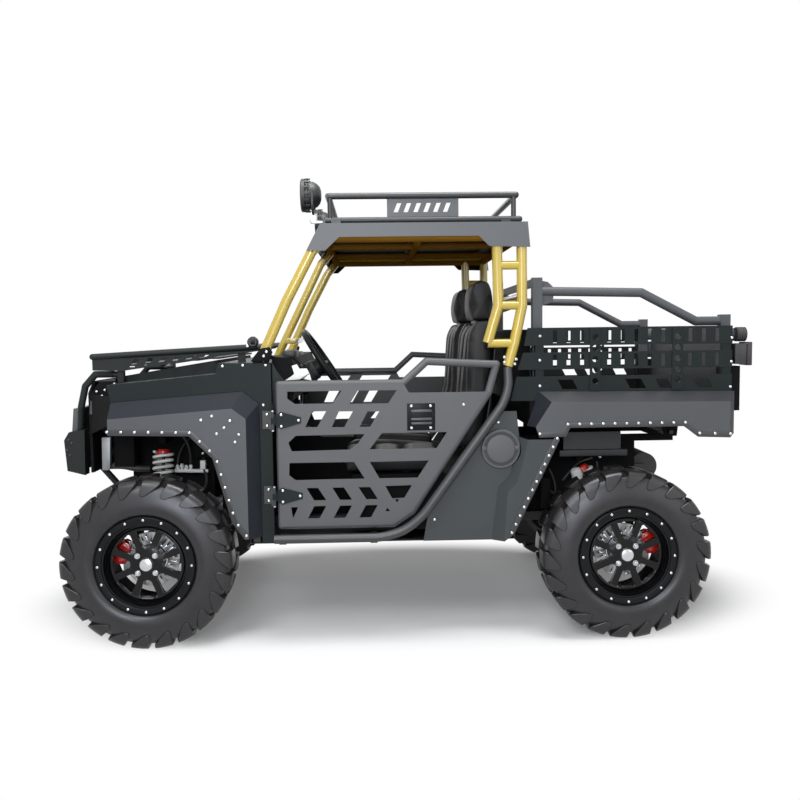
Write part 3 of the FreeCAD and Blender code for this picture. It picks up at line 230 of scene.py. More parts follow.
def tube(name, points, radius, bend=30, cuts=10):
    # a round bar through the points, its corners rounded by bevelling the wire before it gets its thickness
    if len(points) == 2:
        points = [points[0], (points[0] + points[1]) / 2, points[1]]
    ends = {0, len(points) - 1}
    clear()
    bpy.ops.mesh.primitive_circle_add(vertices=len(points), fill_type="NOTHING")
    piece = bpy.context.object
    piece.name = name
    for vertex, corner in zip(piece.data.vertices, points):
        vertex.co = corner
    editEdges(piece, lambda edge: set(edge.vertices) == ends)
    bpy.ops.mesh.delete(type="EDGE")
    if bend:
        bpy.ops.mesh.select_mode(type="VERT")
        bpy.ops.mesh.select_all(action="DESELECT")
        bpy.ops.object.mode_set(mode="OBJECT")
        for vertex in piece.data.vertices:
            vertex.select = vertex.index not in ends
        bpy.ops.object.mode_set(mode="EDIT")
        bpy.ops.mesh.bevel(offset=bend / 1000, segments=6, affect="VERTICES", clamp_overlap=True)
    bpy.ops.object.mode_set(mode="OBJECT")
    pick(piece)
    bpy.ops.object.convert(target="CURVE")
    piece = bpy.context.object
    piece.data.bevel_depth = radius / 1000
    piece.data.bevel_resolution = cuts // 4 + 1
    piece.data.use_fill_caps = True
    pick(piece)
    bpy.ops.object.convert(target="MESH")
    piece = bpy.context.object
    piece.name = name
    outwards(piece)
    return done(piece, 50)


def addNode(tree, kind, settings={}, links={}):
    # a shader node with its settings by name or socket number, and its links
    node = tree.nodes.new("ShaderNode" + kind)
    for key, value in settings.items():
        if isinstance(key, int) or key in node.inputs:
            node.inputs[key].default_value = value
        else:
            setattr(node, key, value)
    for key, socket in links.items():
        tree.links.new(socket, node.inputs[key])
    return node


def colour(code):
    # sRGB hex to the linear values that the nodes use
    values = [int(code[i:i + 2], 16) / 255 for i in (1, 3, 5)]
    return [v / 12.92 if v <= 0.04045 else ((v + 0.055) / 1.055) ** 2.4 for v in values] + [1]


def newMaterial(name):
    material = bpy.data.materials.new(name)
    material.use_nodes = True
    tree = material.node_tree
    tree.nodes.clear()
    shader = addNode(tree, "BsdfPrincipled")
    addNode(tree, "OutputMaterial", links={"Surface": shader.outputs[0]})
    return material, tree, shader


def coating(name, low, high, look, **shaderLook):
    # a coated or moulded surface: two close colours in soft patches, fine relief, roughness that wanders;
    # patch and grain are the sizes in millimetres, relief is the height
    material, tree, shader = newMaterial(name)
    place = addNode(tree, "TexCoord").outputs["Object"]
    if "stretch" in look:
        place = addNode(tree, "Mapping", {"Scale": look["stretch"]}, {"Vector": place}).outputs[0]
    patch = addNode(tree, "TexNoise", {"Scale": 1000 / look["patch"], "Detail": 3}, {"Vector": place})
    blend = addNode(tree, "Mix", {"data_type": "RGBA", 6: colour(low), 7: colour(high)},
                    {0: patch.outputs["Fac"]})
    tree.links.new(blend.outputs[2], shader.inputs["Base Color"])
    fine = addNode(tree, "TexNoise", {"Scale": 1000 / look["grain"], "Detail": 2}, {"Vector": place})
    rough = addNode(tree, "MapRange", {"To Min": look["rough"][0], "To Max": look["rough"][1]},
                    {"Value": patch.outputs["Fac"]})
    tree.links.new(rough.outputs[0], shader.inputs["Roughness"])
    relief = addNode(tree, "Bump", {"Strength": 1.0, "Distance": look["relief"] / 1000},
                     {"Height": fine.outputs["Fac"]})
    tree.links.new(relief.outputs[0], shader.inputs["Normal"])
    for name, value in shaderLook.items():
        shader.inputs[shaderSockets[name]].default_value = value
    return material


shaderSockets = {"metal": "Metallic", "gloss": "Specular IOR Level", "tint": "Specular Tint",
                 "coat": "Coat Weight", "coatRough": "Coat Roughness"}


def surface(patch, grain, relief, rough, **more):
    return {"patch": patch, "grain": grain, "relief": relief, "rough": rough, **more}


# polyester powder coat with a fine texture, baked on steel plate: dull, an even fine sand in the highlights
sand = surface(260, 1.6, 0.10, (0.42, 0.52))
greyPowder = coating("texturedPowderGrey", "#46484b", "#4f5154", sand)
doorPowder = coating("texturedPowderDoor", "#424345", "#4a4b4d", surface(260, 1.6, 0.10, (0.44, 0.54)))
fenderPowder = coating("texturedPowderFender", "#3f4144", "#47494c", sand, gloss=0.4)
quarterPowder = coating("texturedPowderQuarter", "#2e3233", "#353a3b", surface(300, 1.6, 0.10, (0.42, 0.52)),
                        gloss=0.35)
darkPowder = coating("texturedPowderDark", "#1b2021", "#222727", surface(300, 1.6, 0.10, (0.40, 0.50)), gloss=0.1)
# darker copy of the grey coat for bevels and front and rear facets that catch less light: painted shade
paintedShadePowder = coating("texturedPowderPaintedShade", "#1b1e23", "#22252b", surface(280, 1.6, 0.10, (0.5, 0.6)), gloss=0.15)
# darker copy for the bed fenders' upward-facing folds, to keep them dull under the top lamp: painted shade
paintedFoldShadePowder = coating("texturedPowderFoldPaintedShade", "#202225", "#27292c", surface(280, 1.6, 0.10, (0.46, 0.56)), gloss=0.35)
# smoother black coat of the bonnet with a green cast, dull enough to stay dark under a lamp
hoodPowder = coating("bonnetPowder", "#151a1a", "#1c2121", surface(300, 1.4, 0.06, (0.5, 0.6)), gloss=0.25)
# near-black dull primer: the own black of brackets, frames and mouldings, and painted shade on faces that look down or
# inwards and on parts deep in the body
primerAndPaintedShade = coating("underPrimerAndPaintedShade", "#0b0b0c", "#111112", surface(160, 2.0, 0.08, (0.6, 0.75)), gloss=0.08)
# satin black powder coat of racks and brackets, and its greyer one on edge strips
blackPowder = coating("satinPowderBlack", "#1d1e20", "#26282a", surface(220, 1.4, 0.08, (0.36, 0.46)))
trimPowder = coating("edgeTrimPowder", "#2b2c2e", "#343537", surface(140, 1.5, 0.08, (0.38, 0.48)))
# sprayed chassis enamel, half gloss, with road dust in the hollows
frameEnamel = coating("chassisEnamel", "#17181a", "#252423", surface(90, 3.0, 0.08, (0.35, 0.6)))
# two-pack yellow enamel under clear lacquer: warm, glossy, a faint orange peel
yellowEnamel = coating("yellowCageEnamel", "#a88f30", "#b49d3a", surface(180, 7.0, 0.05, (0.24, 0.32)),
                       coat=0.9, coatRough=0.10)
# the same enamel where the roof keeps the light off it: deep amber
amberEnamel = coating("amberCageEnamel", "#5c3e10", "#6f4e18", surface(180, 7.0, 0.05, (0.35, 0.45)), gloss=0.0)
# moulded tyre rubber: charcoal, a dusty bloom in patches and a grain from the mould; the faint blue tint of its
# reflections is painted, standing for cool light
tyreRubber = coating("mouldedTyreRubber", "#181616", "#242120", surface(70, 2.2, 0.10, (0.30, 0.42)),
                     gloss=0.55, tint=colour("#e9ecf4"))
# gloss black wheel enamel with lacquer, near mirror, and a satin one on the bead rings
rimEnamel = coating("glossWheelEnamel", "#08080a", "#0c0c0e", surface(120, 9.0, 0.01, (0.20, 0.28)),
                    coat=0.25, coatRough=0.05, gloss=0.12)
ringEnamel = coating("satinRingEnamel", "#101113", "#17181a", surface(60, 1.8, 0.04, (0.32, 0.42)), gloss=0.12)
# bright zinc plated steel: bolt heads and pins
zincSteel = coating("zincPlatedSteel", "#b9bcc0", "#d4d6d8", surface(14, 1.0, 0.01, (0.22, 0.36)), metal=1.0)
# turned steel of the brake discs, fine tool marks
discSteel = coating("turnedDiscSteel", "#9a9c9f", "#c3c5c7", surface(26, 0.8, 0.02, (0.28, 0.4)), metal=1.0)
# red caliper lacquer over a cast body
caliperRed = coating("redCaliperLacquer", "#a3140f", "#bf1d15", surface(30, 2.5, 0.08, (0.25, 0.35)),
                     coat=0.7, coatRough=0.1)
# sand-cast aluminium: dull grey metal with a pebbled skin
castAluminium = coating("castAluminium", "#7c7e80", "#97999b", surface(40, 2.0, 0.2, (0.45, 0.6)), metal=0.85)
# painted cast iron of the engine block and axles
castIron = coating("paintedCastIron", "#222325", "#33312f", surface(50, 2.5, 0.25, (0.5, 0.7)))
# injection moulded polypropylene with a light spark texture
mouldedPlastic = coating("mouldedPolypropylene", "#1a1b1c", "#222324", surface(150, 1.1, 0.06, (0.45, 0.55)))
# powder coats of the springs: white on the coils, red on the collars
whiteSpring = coating("whiteSpringPowder", "#dcdbd6", "#ebeae6", surface(60, 1.5, 0.03, (0.3, 0.42)))
redPowder = coating("redSpringPowder", "#b0170f", "#c8241a", surface(60, 1.5, 0.03, (0.28, 0.38)))
# smoked polycarbonate lens, hard-coated: bluish and very glossy
smokedLens = coating("smokedPolycarbonate", "#10151f", "#1f2838", surface(40, 6.0, 0.02, (0.08, 0.14)),
                     coat=1.0, coatRough=0.03)
# fluted lamp glass, its ribs stretched upright, and the prisms of a red acrylic lens
clearLens = coating("fluteGlassLens", "#b6bcc4", "#d8dde3",
                    surface(20, 4.0, 0.3, (0.08, 0.16), stretch=(1, 1, 0.15)), coat=1.0, coatRough=0.03)
redLens = coating("redTailLens", "#7d0c0e", "#a8161a", surface(12, 3.5, 0.3, (0.1, 0.2)), coat=1.0, coatRough=0.05)


def vinyl():
    # pressed marine vinyl on foam: black, small irregular pebbles of about 1.5 mm with soft creases between
    material, tree, shader = newMaterial("pressedSeatVinyl")
    place = addNode(tree, "TexCoord").outputs["Object"]
    pebble = addNode(tree, "TexVoronoi", {"feature": "DISTANCE_TO_EDGE", "Scale": 1000 / 2.2}, {"Vector": place})
    crease = addNode(tree, "MapRange", {"From Max": 0.18}, {"Value": pebble.outputs["Distance"]})
    patch = addNode(tree, "TexNoise", {"Scale": 1000 / 90, "Detail": 4}, {"Vector": place})
    blend = addNode(tree, "Mix", {"data_type": "RGBA", 6: colour("#0d0d0e"), 7: colour("#151517")},
                    {0: patch.outputs["Fac"]})
    rough = addNode(tree, "MapRange", {"To Min": 0.6, "To Max": 0.46}, {"Value": crease.outputs[0]})
    relief = addNode(tree, "Bump", {"Strength": 0.8, "Distance": 0.0003}, {"Height": crease.outputs[0]})
    tree.links.new(blend.outputs[2], shader.inputs["Base Color"])
    tree.links.new(rough.outputs[0], shader.inputs["Roughness"])
    tree.links.new(relief.outputs[0], shader.inputs["Normal"])
    shader.inputs["Specular IOR Level"].default_value = 0.35
    return material


seatVinyl = vinyl()


def settle(piece, body, finish, slot, *replaced):
    # gives a piece its finish and its place on a body, and hides the CAD nodes it stands for
    piece.data.materials.clear()
    piece.data.materials.append(finish)
    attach(piece, body)
    if replaced:
        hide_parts(*replaced)
    return piece


def dress(node, finish, slot, edge, angle):
    # a copy of a CAD node, merged and with its edges eased, stands for it
    cad = nodes[node]
    piece = bpy.data.objects.new(node + "_skin", cad.data.copy())
    bpy.context.scene.collection.objects.link(piece)
    pick(piece)
    bpy.ops.mesh.customdata_custom_splitnormals_clear()
    edit(piece)
    bpy.ops.mesh.remove_doubles(threshold=0.00002)
    bpy.ops.mesh.dissolve_limited(angle_limit=math.radians(0.6))
    clear()
    if edge:
        ease(piece, edge, 2, 40)
    done(piece, angle)
    shape(piece, "WEIGHTED_NORMAL", keep_sharp=True)
    return settle(piece, cad["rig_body"], finish, slot, node)


def repaint(piece, finish, test):
    # one more finish, on the faces that pass the test
    piece.data.materials.append(finish)
    for face in piece.data.polygons:
        if test(face):
            face.material_index = len(piece.data.materials) - 1
    return piece


print("stage: camera, lamps and floor")
# place in metres, angles in radians, lens in millimetres
view = {"place": (-0.115, -4.207, 1.2848), "yaw": 0.0295, "pitch": 0.0759, "roll": -0.0129, "lens": 38.25}
right = Vector((math.cos(view["yaw"]), -math.sin(view["yaw"]), 0))
ahead = Vector((math.sin(view["yaw"]) * math.cos(view["pitch"]), math.cos(view["yaw"]) * math.cos(view["pitch"]),
                -math.sin(view["pitch"])))
upward = right.cross(ahead)
turn = Matrix.Rotation(view["roll"], 3, -ahead)
columns = [turn @ right, turn @ upward, -ahead]
clear()
bpy.ops.object.camera_add()
camera = bpy.context.object
camera.data.lens = view["lens"]
camera.matrix_world = Matrix.Translation(view["place"]) @ Matrix(columns).transposed().to_4x4()
bpy.context.scene.camera = camera

white, cool = (1, 1, 1), (0.86, 0.93, 1.0)
lamps = {                # place, size in metres, power in watts, colour
    "key": ((-2.0, -4.4, 4.8), 2.2, 150, white), "top": ((0.3, -1.0, 5.0), 2.2, 225, white),
    "band": ((-0.6, -5.6, 2.4), 1.3, 110, cool), "fill": ((3.6, -3.8, 2.2), 2.4, 30, white),
    "back": ((-1.0, 4.2, 3.4), 3.0, 40, white), "low": ((-0.4, -4.8, 0.9), 1.6, 18, white)}
lampAim = Vector((0, 0, 0.7))
for name, (place, size, power, tint) in lamps.items():
    clear()
    bpy.ops.object.light_add(type="AREA", location=place)
    lamp = bpy.context.object
    lamp.name = name + "Lamp"
    lamp.data.size, lamp.data.energy = size, power
    lamp.data.color = tint
    lamp.rotation_euler = (lampAim - Vector(place)).to_track_quat("-Z", "Y").to_euler()



def seenDirectly(tree):
    # 1 for what the camera sees itself, in a gloss or through glass, and 0 for light on the object
    rays = addNode(tree, "LightPath").outputs
    either = addNode(tree, "Math", {"operation": "MAXIMUM"}, {0: rays["Is Camera Ray"], 1: rays["Is Glossy Ray"]})
    return addNode(tree, "Math", {"operation": "MAXIMUM"},
                   {0: either.outputs[0], 1: rays["Is Transmission Ray"]}).outputs[0]


world = bpy.data.worlds.new("studio")
bpy.context.scene.world = world
world.use_nodes = True
tree = world.node_tree
tree.nodes.clear()
strength = addNode(tree, "MapRange", {"To Min": 0.22, "To Max": 1.0}, {"Value": seenDirectly(tree)})
sky = addNode(tree, "Background", {"Color": (1, 1, 1, 1)}, {"Strength": strength.outputs[0]})
addNode(tree, "OutputWorld", links={"Surface": sky.outputs[0]})

clear()
bpy.ops.mesh.primitive_plane_add(size=40)
floor = bpy.context.object
floor.name = "floor"
# matt white paper sweep: it takes the shadow close to the wheels and is lifted to pure white farther out
material = bpy.data.materials.new("paperSweep")
material.use_nodes = True
tree = material.node_tree
tree.nodes.clear()
spot = addNode(tree, "Mapping", {"Scale": (0.52, 0.95, 1)},
               {"Vector": addNode(tree, "TexCoord").outputs["Object"]})
reach = addNode(tree, "VectorMath", {"operation": "LENGTH"}, {0: spot.outputs[0]})
lifted = addNode(tree, "MapRange", {"interpolation_type": "SMOOTHSTEP", "From Min": 0.72, "From Max": 1.0,
                                    "To Min": 0.12}, {"Value": reach.outputs["Value"]})
amount = addNode(tree, "Math", {"operation": "MULTIPLY"}, {0: lifted.outputs[0], 1: seenDirectly(tree)})
paper = addNode(tree, "BsdfDiffuse", {"Color": colour("#dedede")})
glow = addNode(tree, "Emission", {"Color": (1, 1, 1, 1), "Strength": 1.0})
lift = addNode(tree, "MixShader", links={0: amount.outputs[0], 1: paper.outputs[0], 2: glow.outputs[0]})
addNode(tree, "OutputMaterial", links={"Surface": lift.outputs[0]})
floor.data.materials.append(material)
bpy.context.scene.view_settings.view_transform = "Standard"

print("stage: fasteners")


def buttonHead():
    # a button-head screw of radius 1 that stands up along z, with its hexagon socket
    clear()
    bpy.ops.mesh.primitive_circle_add(vertices=12, radius=1, fill_type="NGON")
    head = bpy.context.object
    edit(head)
    for rise, grow in ((0.22, 1.0), (0.26, 0.84), (0.16, 0.7)):
        bpy.ops.mesh.extrude_region_move(TRANSFORM_OT_translate={"value": (0, 0, rise)})
        bpy.ops.transform.resize(value=(grow, grow, 1))
    bpy.ops.mesh.inset(thickness=0.2)
    bpy.ops.mesh.extrude_region_move(TRANSFORM_OT_translate={"value": (0, 0, -0.25)})
    outwards(head)
    return done(head, 45)


def hexNut():
    # a nut of radius 1 on its washer, with the end of the stud
    clear()
    bpy.ops.mesh.primitive_circle_add(vertices=24, radius=1.15, fill_type="NGON")
    washer = bpy.context.object
    edit(washer)
    bpy.ops.mesh.extrude_region_move(TRANSFORM_OT_translate={"value": (0, 0, 0.15)})
    outwards(washer)
    clear()
    bpy.ops.mesh.primitive_circle_add(vertices=6, radius=1, location=(0, 0, 0.1), fill_type="NGON")
    nut = bpy.context.object
    edit(nut)
    bpy.ops.mesh.extrude_region_move(TRANSFORM_OT_translate={"value": (0, 0, 0.9)})
    bpy.ops.mesh.inset(thickness=0.35)
    bpy.ops.mesh.extrude_region_move(TRANSFORM_OT_translate={"value": (0, 0, 0.35)})
    outwards(nut)
    pick(nut)
    bpy.ops.object.transform_apply(location=True)
    ease(nut, 60, 1, 40)
    return done(joined("hexNut", [nut, washer]), 40)


screw, nut = buttonHead(), hexNut()
panelBolt = 6.5          # radius of the head of a panel's bolt, millimetres


def fasten(name, body, places, radius=panelBolt, finish=zincSteel):
    # one screw at every (place, direction), joined to one piece
    heads = [twin(screw, name, aim(way, place) @ Matrix.Scale(radius / 1000, 4)) for place, way in places]
    return settle(done(joined(name, heads), 45), body, finish, "steel")


def along(points, count):
    # evenly spaced points on a line of corners
    runs = [(Vector(a), Vector(b)) for a, b in zip(points, points[1:])]
    lengths = [(b - a).length for a, b in runs]
    total, found = sum(lengths), []
    for i in range(count):
        left = total * i / max(1, count - 1)
        for (a, b), length in zip(runs, lengths):
            if left <= length + 1e-6:
                found.append(a.lerp(b, left / length))
                break
            left -= length
    return found


def row(points, y, count=None):
    # (place, direction) on both sides of the machine for points of x, z at distance y from the middle
    spots = along(points, count) if count else [Vector(p) for p in points]
    return [(at(p[0], sign * y, p[1]), (0, sign, 0)) for p in spots for sign in (-1, 1)]


print("stage: wheels")
tyreLook = {"lugs": 22, "steps": 132, "lugDepth": 0.019, "lugEdge": 2.2}
# right half of the carcass from the tread to the bead: distance from the middle plane, radius
carcassHalf = [(0, 337), (60, 337), (80, 335), (94, 330), (102, 321), (107.5, 311), (112, 300), (116, 288),
               (119.5, 276), (122.5, 263), (124.5, 250), (124.5, 238), (119, 221), (112, 212), (104, 206),
               (97, 202), (96, 186), (95, 179)]
carcassInner = [(70, 180), (66, 184), (0, 186)]


def carcass():
    loop = [(r, y) for y, r in carcassHalf + carcassInner]
    loop += [(r, -y) for r, y in reversed(loop[1:-1])]
    return lathe("carcass", loop, tyreLook["steps"])


def lug():
    # a grid laid on the tread and shoulder, thickened inwards, its edges eased;
    # rows of distance from the middle plane, radius, and where the lug starts and stops in degrees
    rows = [(9, 355, 1.2, 10.3), (46, 355, 0.3, 11.0), (80, 355, 0.0, 11.7), (96, 352.5, 0.0, 11.9),
            (106, 343, -0.1, 11.7), (111, 331, -0.9, 10.2), (114, 319, -1.6, 8.2), (116.5, 306, -2.2, 5.8),
            (118.8, 296, -2.2, 3.6), (120, 289, -1.4, 1.2)]
    clear()
    bpy.ops.mesh.primitive_grid_add(x_subdivisions=3, y_subdivisions=len(rows) - 1, size=2)
    piece = bpy.context.object
    for vertex in piece.data.vertices:
        u = (vertex.co.x + 1) / 2
        y, r, a, b = rows[round((vertex.co.y + 1) / 2 * (len(rows) - 1))]
        turn = math.radians(a + (b - a) * u)
        vertex.co = Vector((math.sin(turn) * r, -y, math.cos(turn) * r)) / 1000
    outwards(piece)
    shape(piece, "SOLIDIFY", thickness=tyreLook["lugDepth"], offset=-1, use_even_offset=False)
    ease(piece, tyreLook["lugEdge"], 1, 42)
    return piece


def buildTyre():
    body, one = carcass(), lug()
    pitch = math.tau / tyreLook["lugs"]
    pieces = [body]
    for i in range(tyreLook["lugs"]):
        pieces.append(twin(one, "lug", Matrix.Rotation(i * pitch, 4, "Y")))
        pieces.append(twin(one, "lug", Matrix.Rotation((i + 0.5) * pitch, 4, "Y") @ mirror))
    drop(one)
    return done(joined("tyre", pieces), 38)


wheelLook = {"windows": 8, "faceY": -74, "hubNuts": 4, "ringBolts": 16, "discHoles": 30, "middleY": 645, "axleZ": 355}


def buildRim():
    # barrel with its lips, then the dished face with eight rounded windows
    barrel = lathe("barrel", [(177.5, -97), (186, -99), (199, -101), (200, -104), (197, -107), (171, -107),
                              (168, -96), (169, -70), (171.5, -40), (171.5, 90), (172, 106), (197, 107),
                              (200, 104), (199, 100), (186, 99), (177.5, 97)], 96)
    y = wheelLook["faceY"]
    face = lathe("face", [(171, y + 4), (158, y + 2), (152, y - 4), (147, y - 5), (142, y - 2), (100, y - 4),
                          (68, y - 8), (60, y - 12), (32, y - 12), (0, y - 12), (0, y + 12), (60, y + 12),
                          (140, y + 16), (171, y + 14)], 96)
    cutters = []
    for i in range(wheelLook["windows"]):
        corners = [Vector((x, y - 40, z)) / 1000 for x, z in ((-14, 66), (14, 66), (42, 140), (-42, 140))]
        cutter = outline("cutter", corners)
        edit(cutter)
        bpy.ops.mesh.extrude_region_move(TRANSFORM_OT_translate={"value": (0, 0.09, 0)})
        outwards(cutter)
        editEdges(cutter, lambda edge: abs(cutter.data.vertices[edge.vertices[0]].co.y
                                           - cutter.data.vertices[edge.vertices[1]].co.y) > 0.05)
        bpy.ops.mesh.bevel(offset=0.012, segments=5, affect="EDGES", clamp_overlap=True)
        clear()
        cutters.append(moved(cutter, Matrix.Rotation(i * math.tau / wheelLook["windows"], 4, "Y")))
    tool = joined("cutter", cutters)
    shape(face, "BOOLEAN", object=tool, operation="DIFFERENCE", solver="EXACT")
    drop(tool)
    ease(face, 2.4, 3, 40)
    hub = lathe("hub", [(0, y + 8), (58, y + 8), (62, 0), (62, 6), (0, 6)], 48)
    stub = lathe("stub", [(0, 4), (16, 4), (16, 28), (0, 28)], 24)
    return done(joined("rim", [barrel, face, hub, stub]), 35)


def buildRing():
    # clamping ring of the bead
    ring = lathe("beadRing", [(177, -106), (178, -113), (182, -115), (200, -115), (204, -112), (205.5, -105)], 96)
    return ease(ring, 1.0, 2)


def buildDisc():
    # brake disc with its pattern of holes
    disc = lathe("disc", [(64, 5), (116, 5), (116, 11), (64, 11)], 72)
    holes = []
    for i in range(wheelLook["discHoles"]):
        clear()
        bpy.ops.mesh.primitive_cylinder_add(vertices=10, radius=0.0035, depth=0.03)
        hole = bpy.context.object
        moved(hole, Matrix.Rotation(i * math.tau / wheelLook["discHoles"], 4, "Y") @
              Matrix.Translation((0, 0.008, (76 + 14 * (i % 3)) / 1000)) @ Matrix.Rotation(math.pi / 2, 4, "X"))
        holes.append(hole)
    tool = joined("holes", holes)
    shape(disc, "BOOLEAN", object=tool, operation="DIFFERENCE", solver="EXACT")
    drop(tool)
    return ease(disc, 0.6, 1, 50)


def buildCaliper():
    # four-piston caliper over the edge of the disc: two halves with rounded ends, a bridge and bosses
    def half(y, thick):
        corners = ((-152, -38), (-158, 0), (-152, 38), (-128, 50), (-100, 44), (-92, 20), (-92, -20), (-100, -44),
                   (-128, -50))
        return plate("caliper", [Vector((x, y, z)) / 1000 for x, z in corners], (0, thick / 1000, 0), 4)

    parts = [half(-22, 22), half(16, 24)]
    parts.append(plate("caliper", [Vector(p) / 1000 for p in ((-156, -6, -30), (-156, -6, 30), (-126, -6, 34),
                                                              (-126, -6, -34))], (0, 0.03, 0), 2))
    for z in (-24, 24):
        boss = lathe("boss", [(0, 0), (17, 0), (17, 4), (13, 6), (9, 6), (9, 4), (0, 4)], 28, (0, 0, 1))
        parts.append(moved(boss, aim((0, -1, 0), Vector((-122, -21, z)) / 1000)))
    turn = Matrix.Rotation(math.radians(16), 4, "Y")
    return moved(done(joined("caliper", parts), 35), turn)


tyre, rim, ring, disc, caliper = buildTyre(), buildRim(), buildRing(), buildDisc(), buildCaliper()
y = wheelLook["faceY"] - 12
ringPitch, nutPitch = math.tau / wheelLook["ringBolts"], math.tau / wheelLook["hubNuts"]
ringSpots = [(192, i * ringPitch, -115, 6.0, screw) for i in range(wheelLook["ringBolts"])]
hubSpots = [(51, (i + 0.5) * nutPitch, y, 10.0, nut) for i in range(wheelLook["hubNuts"])]
heads = [twin(kind, "head", Matrix.Rotation(angle, 4, "Y") @ aim((0, -1, 0), Vector((0, depth, radius)) / 1000)
              @ Matrix.Scale(size / 1000, 4)) for radius, angle, depth, size, kind in ringSpots + hubSpots]
cap = lathe("cap", [(0, y - 14), (16, y - 13), (25, y - 10), (29, y - 4), (30, y + 2), (0, y + 2)], 40)
heads = done(joined("heads", heads + [cap]), 40)
valve = lathe("valve", [(0, 0), (4, 0), (4, 24), (2.5, 26), (2.5, 34), (0, 34)], 16, (0, 0, 1))
moved(valve, Matrix.Rotation(0.3, 4, "Y") @ aim((0, -1, -0.25), Vector((0, -80, 158)) / 1000))

axles = {"front": -1000, "rear": 1000}
for end, x in axles.items():
    for side, sign in sides:
        place = Matrix.Translation(at(x, sign * wheelLook["middleY"], wheelLook["axleZ"])) @ toSide[side]
        tag, node, body = "_" + end + "_" + side, "_" + end[0] + side[0], "wheel_" + end + "_" + side
        settle(twin(tyre, "tyre" + tag, place), body, tyreRubber, "tyre", "tyre" + node)
        settle(twin(rim, "rim" + tag, place), body, rimEnamel, "rim_black", "rim" + node)
        settle(twin(ring, "beadRing" + tag, place), body, ringEnamel, "rim_black")
        settle(twin(disc, "brakeDisc" + tag, place), body, discSteel, "steel")
        settle(twin(heads, "wheelBolts" + tag, place), body, zincSteel, "steel")
        settle(twin(valve, "valve" + tag, place), body, mouldedPlastic, "plastic_black")
        flip = Matrix.Identity(4) if end == "front" else Matrix.Diagonal((-1, 1, 1, 1))
        settle(twin(caliper, "caliper" + tag, place @ flip),
               "knuckle_" + side if end == "front" else "chassis", caliperRed, "cast")
drop(tyre, rim, ring, disc, caliper, heads, valve)

print("stage: panels and frame")
# node, finish, slot and the width of its eased edges in millimetres
dressings = [
    ("roll_cage", yellowEnamel, "cage_yellow", 0), ("roof_panel", greyPowder, "powder_grey", 1.2),
    ("roof_rack", blackPowder, "powder_black", 0), ("hood_rack", hoodPowder, "powder_black", 0.8),
    ("front_fenders", fenderPowder, "powder_grey", 1.2), ("cowl_sides", darkPowder, "powder_dark", 1.2),
    ("hood", hoodPowder, "powder_black", 1.5), ("cowl_top", hoodPowder, "powder_black", 1.2),
    ("quarter_panels", quarterPowder, "powder_grey", 1.2), ("bed_fenders", fenderPowder, "powder_grey", 1.2),
    ("bed_side_boards", darkPowder, "powder_dark", 0.8), ("bed_rails", fenderPowder, "powder_grey", 1.2),
    ("bed_tub", primerAndPaintedShade, "powder_black", 1.2), ("tailgate", blackPowder, "powder_black", 1.5),
    ("bumper", greyPowder, "powder_black", 1.5),
    ("front_fascia", primerAndPaintedShade, "powder_black", 1.2), ("door_l", doorPowder, "powder_grey", 0.9),
    ("door_r", doorPowder, "powder_grey", 0.9), ("door_hinges", blackPowder, "powder_black", 0.6),
    ("dash", primerAndPaintedShade, "plastic_black", 2.5), ("seat_base", primerAndPaintedShade, "plastic_black", 2),
    ("console", primerAndPaintedShade, "plastic_black", 2),
    ("main_frame", frameEnamel, "frame_black", 2), ("front_frame", primerAndPaintedShade, "frame_black", 2),
    ("rear_frame", primerAndPaintedShade, "frame_black", 2), ("front_arms", frameEnamel, "frame_black", 1),
    ("rear_arms", frameEnamel, "frame_black", 1), ("floor_pan", frameEnamel, "frame_black", 1.2),
    ("rack_housing", castAluminium, "frame_black", 1), ("engine", primerAndPaintedShade, "cast", 6),
    ("drive_axles", castIron, "cast", 3), ("rear_hub_carriers", castAluminium, "cast", 2),
    ("knuckle_fl", castAluminium, "cast", 2), ("knuckle_fr", castAluminium, "cast", 2),
    ("air_box", mouldedPlastic, "plastic_black", 5), ("exhaust", castIron, "steel", 2),
    ("winch", blackPowder, "powder_black", 2), ("steering_column", mouldedPlastic, "plastic_black", 2),
    ("bed_pivot", frameEnamel, "frame_black", 1), ("steering_wheel", ringEnamel, "plastic_black", 0),
]
folded = ("front_fenders", "bed_fenders", "hood", "cowl_sides", "roof_panel")      # their shallow folds stay crisp
skins = {node: dress(node, finish, slot, edge, 14 if node in folded else 28) for node, finish, slot, edge in dressings}
# the rack's bar keeps its own shape
nodes["rack_bar"].data.materials.clear()
nodes["rack_bar"].data.materials.append(zincSteel)

# faces of one sheet that catch the light less, inward faces and those under the roof get darker finishes as painted
# shade; some repaints below are a part's own second colour
underRoof, doorFace = 1.66, 0.6765
repaint(skins["front_fenders"], paintedShadePowder, lambda f: abs(f.normal.y) < 0.97)
repaint(skins["bed_fenders"], paintedFoldShadePowder, lambda f: abs(f.normal.y) < 0.97 and f.normal.z > 0.3)
repaint(skins["bed_fenders"], paintedShadePowder,
        lambda f: abs(f.normal.y) < 0.97 and (f.center.x > lengthwise(1440) or f.normal.x < -0.25))
repaint(skins["roof_panel"], primerAndPaintedShade, lambda f: f.normal.z < -0.5 or f.normal.y * f.center.y < -0.1)
repaint(skins["bumper"], hoodPowder, lambda f: f.center.z < 0.888 or f.center.x > lengthwise(-1374))
repaint(skins["roll_cage"], amberEnamel,
        lambda f: f.center.z > underRoof and (f.normal.z < 0.2 or abs(f.center.y) < 0.6))
repaint(skins["roll_cage"], primerAndPaintedShade, lambda f: f.center.z < 1.2 and f.center.x < lengthwise(-400))
repaint(skins["roof_rack"], greyPowder,
        lambda f: abs(f.normal.y) > 0.9 and f.area > 0.0002 and 0.5 < abs(f.center.y) < 0.56
        and lengthwise(10) < f.center.x < lengthwise(326))
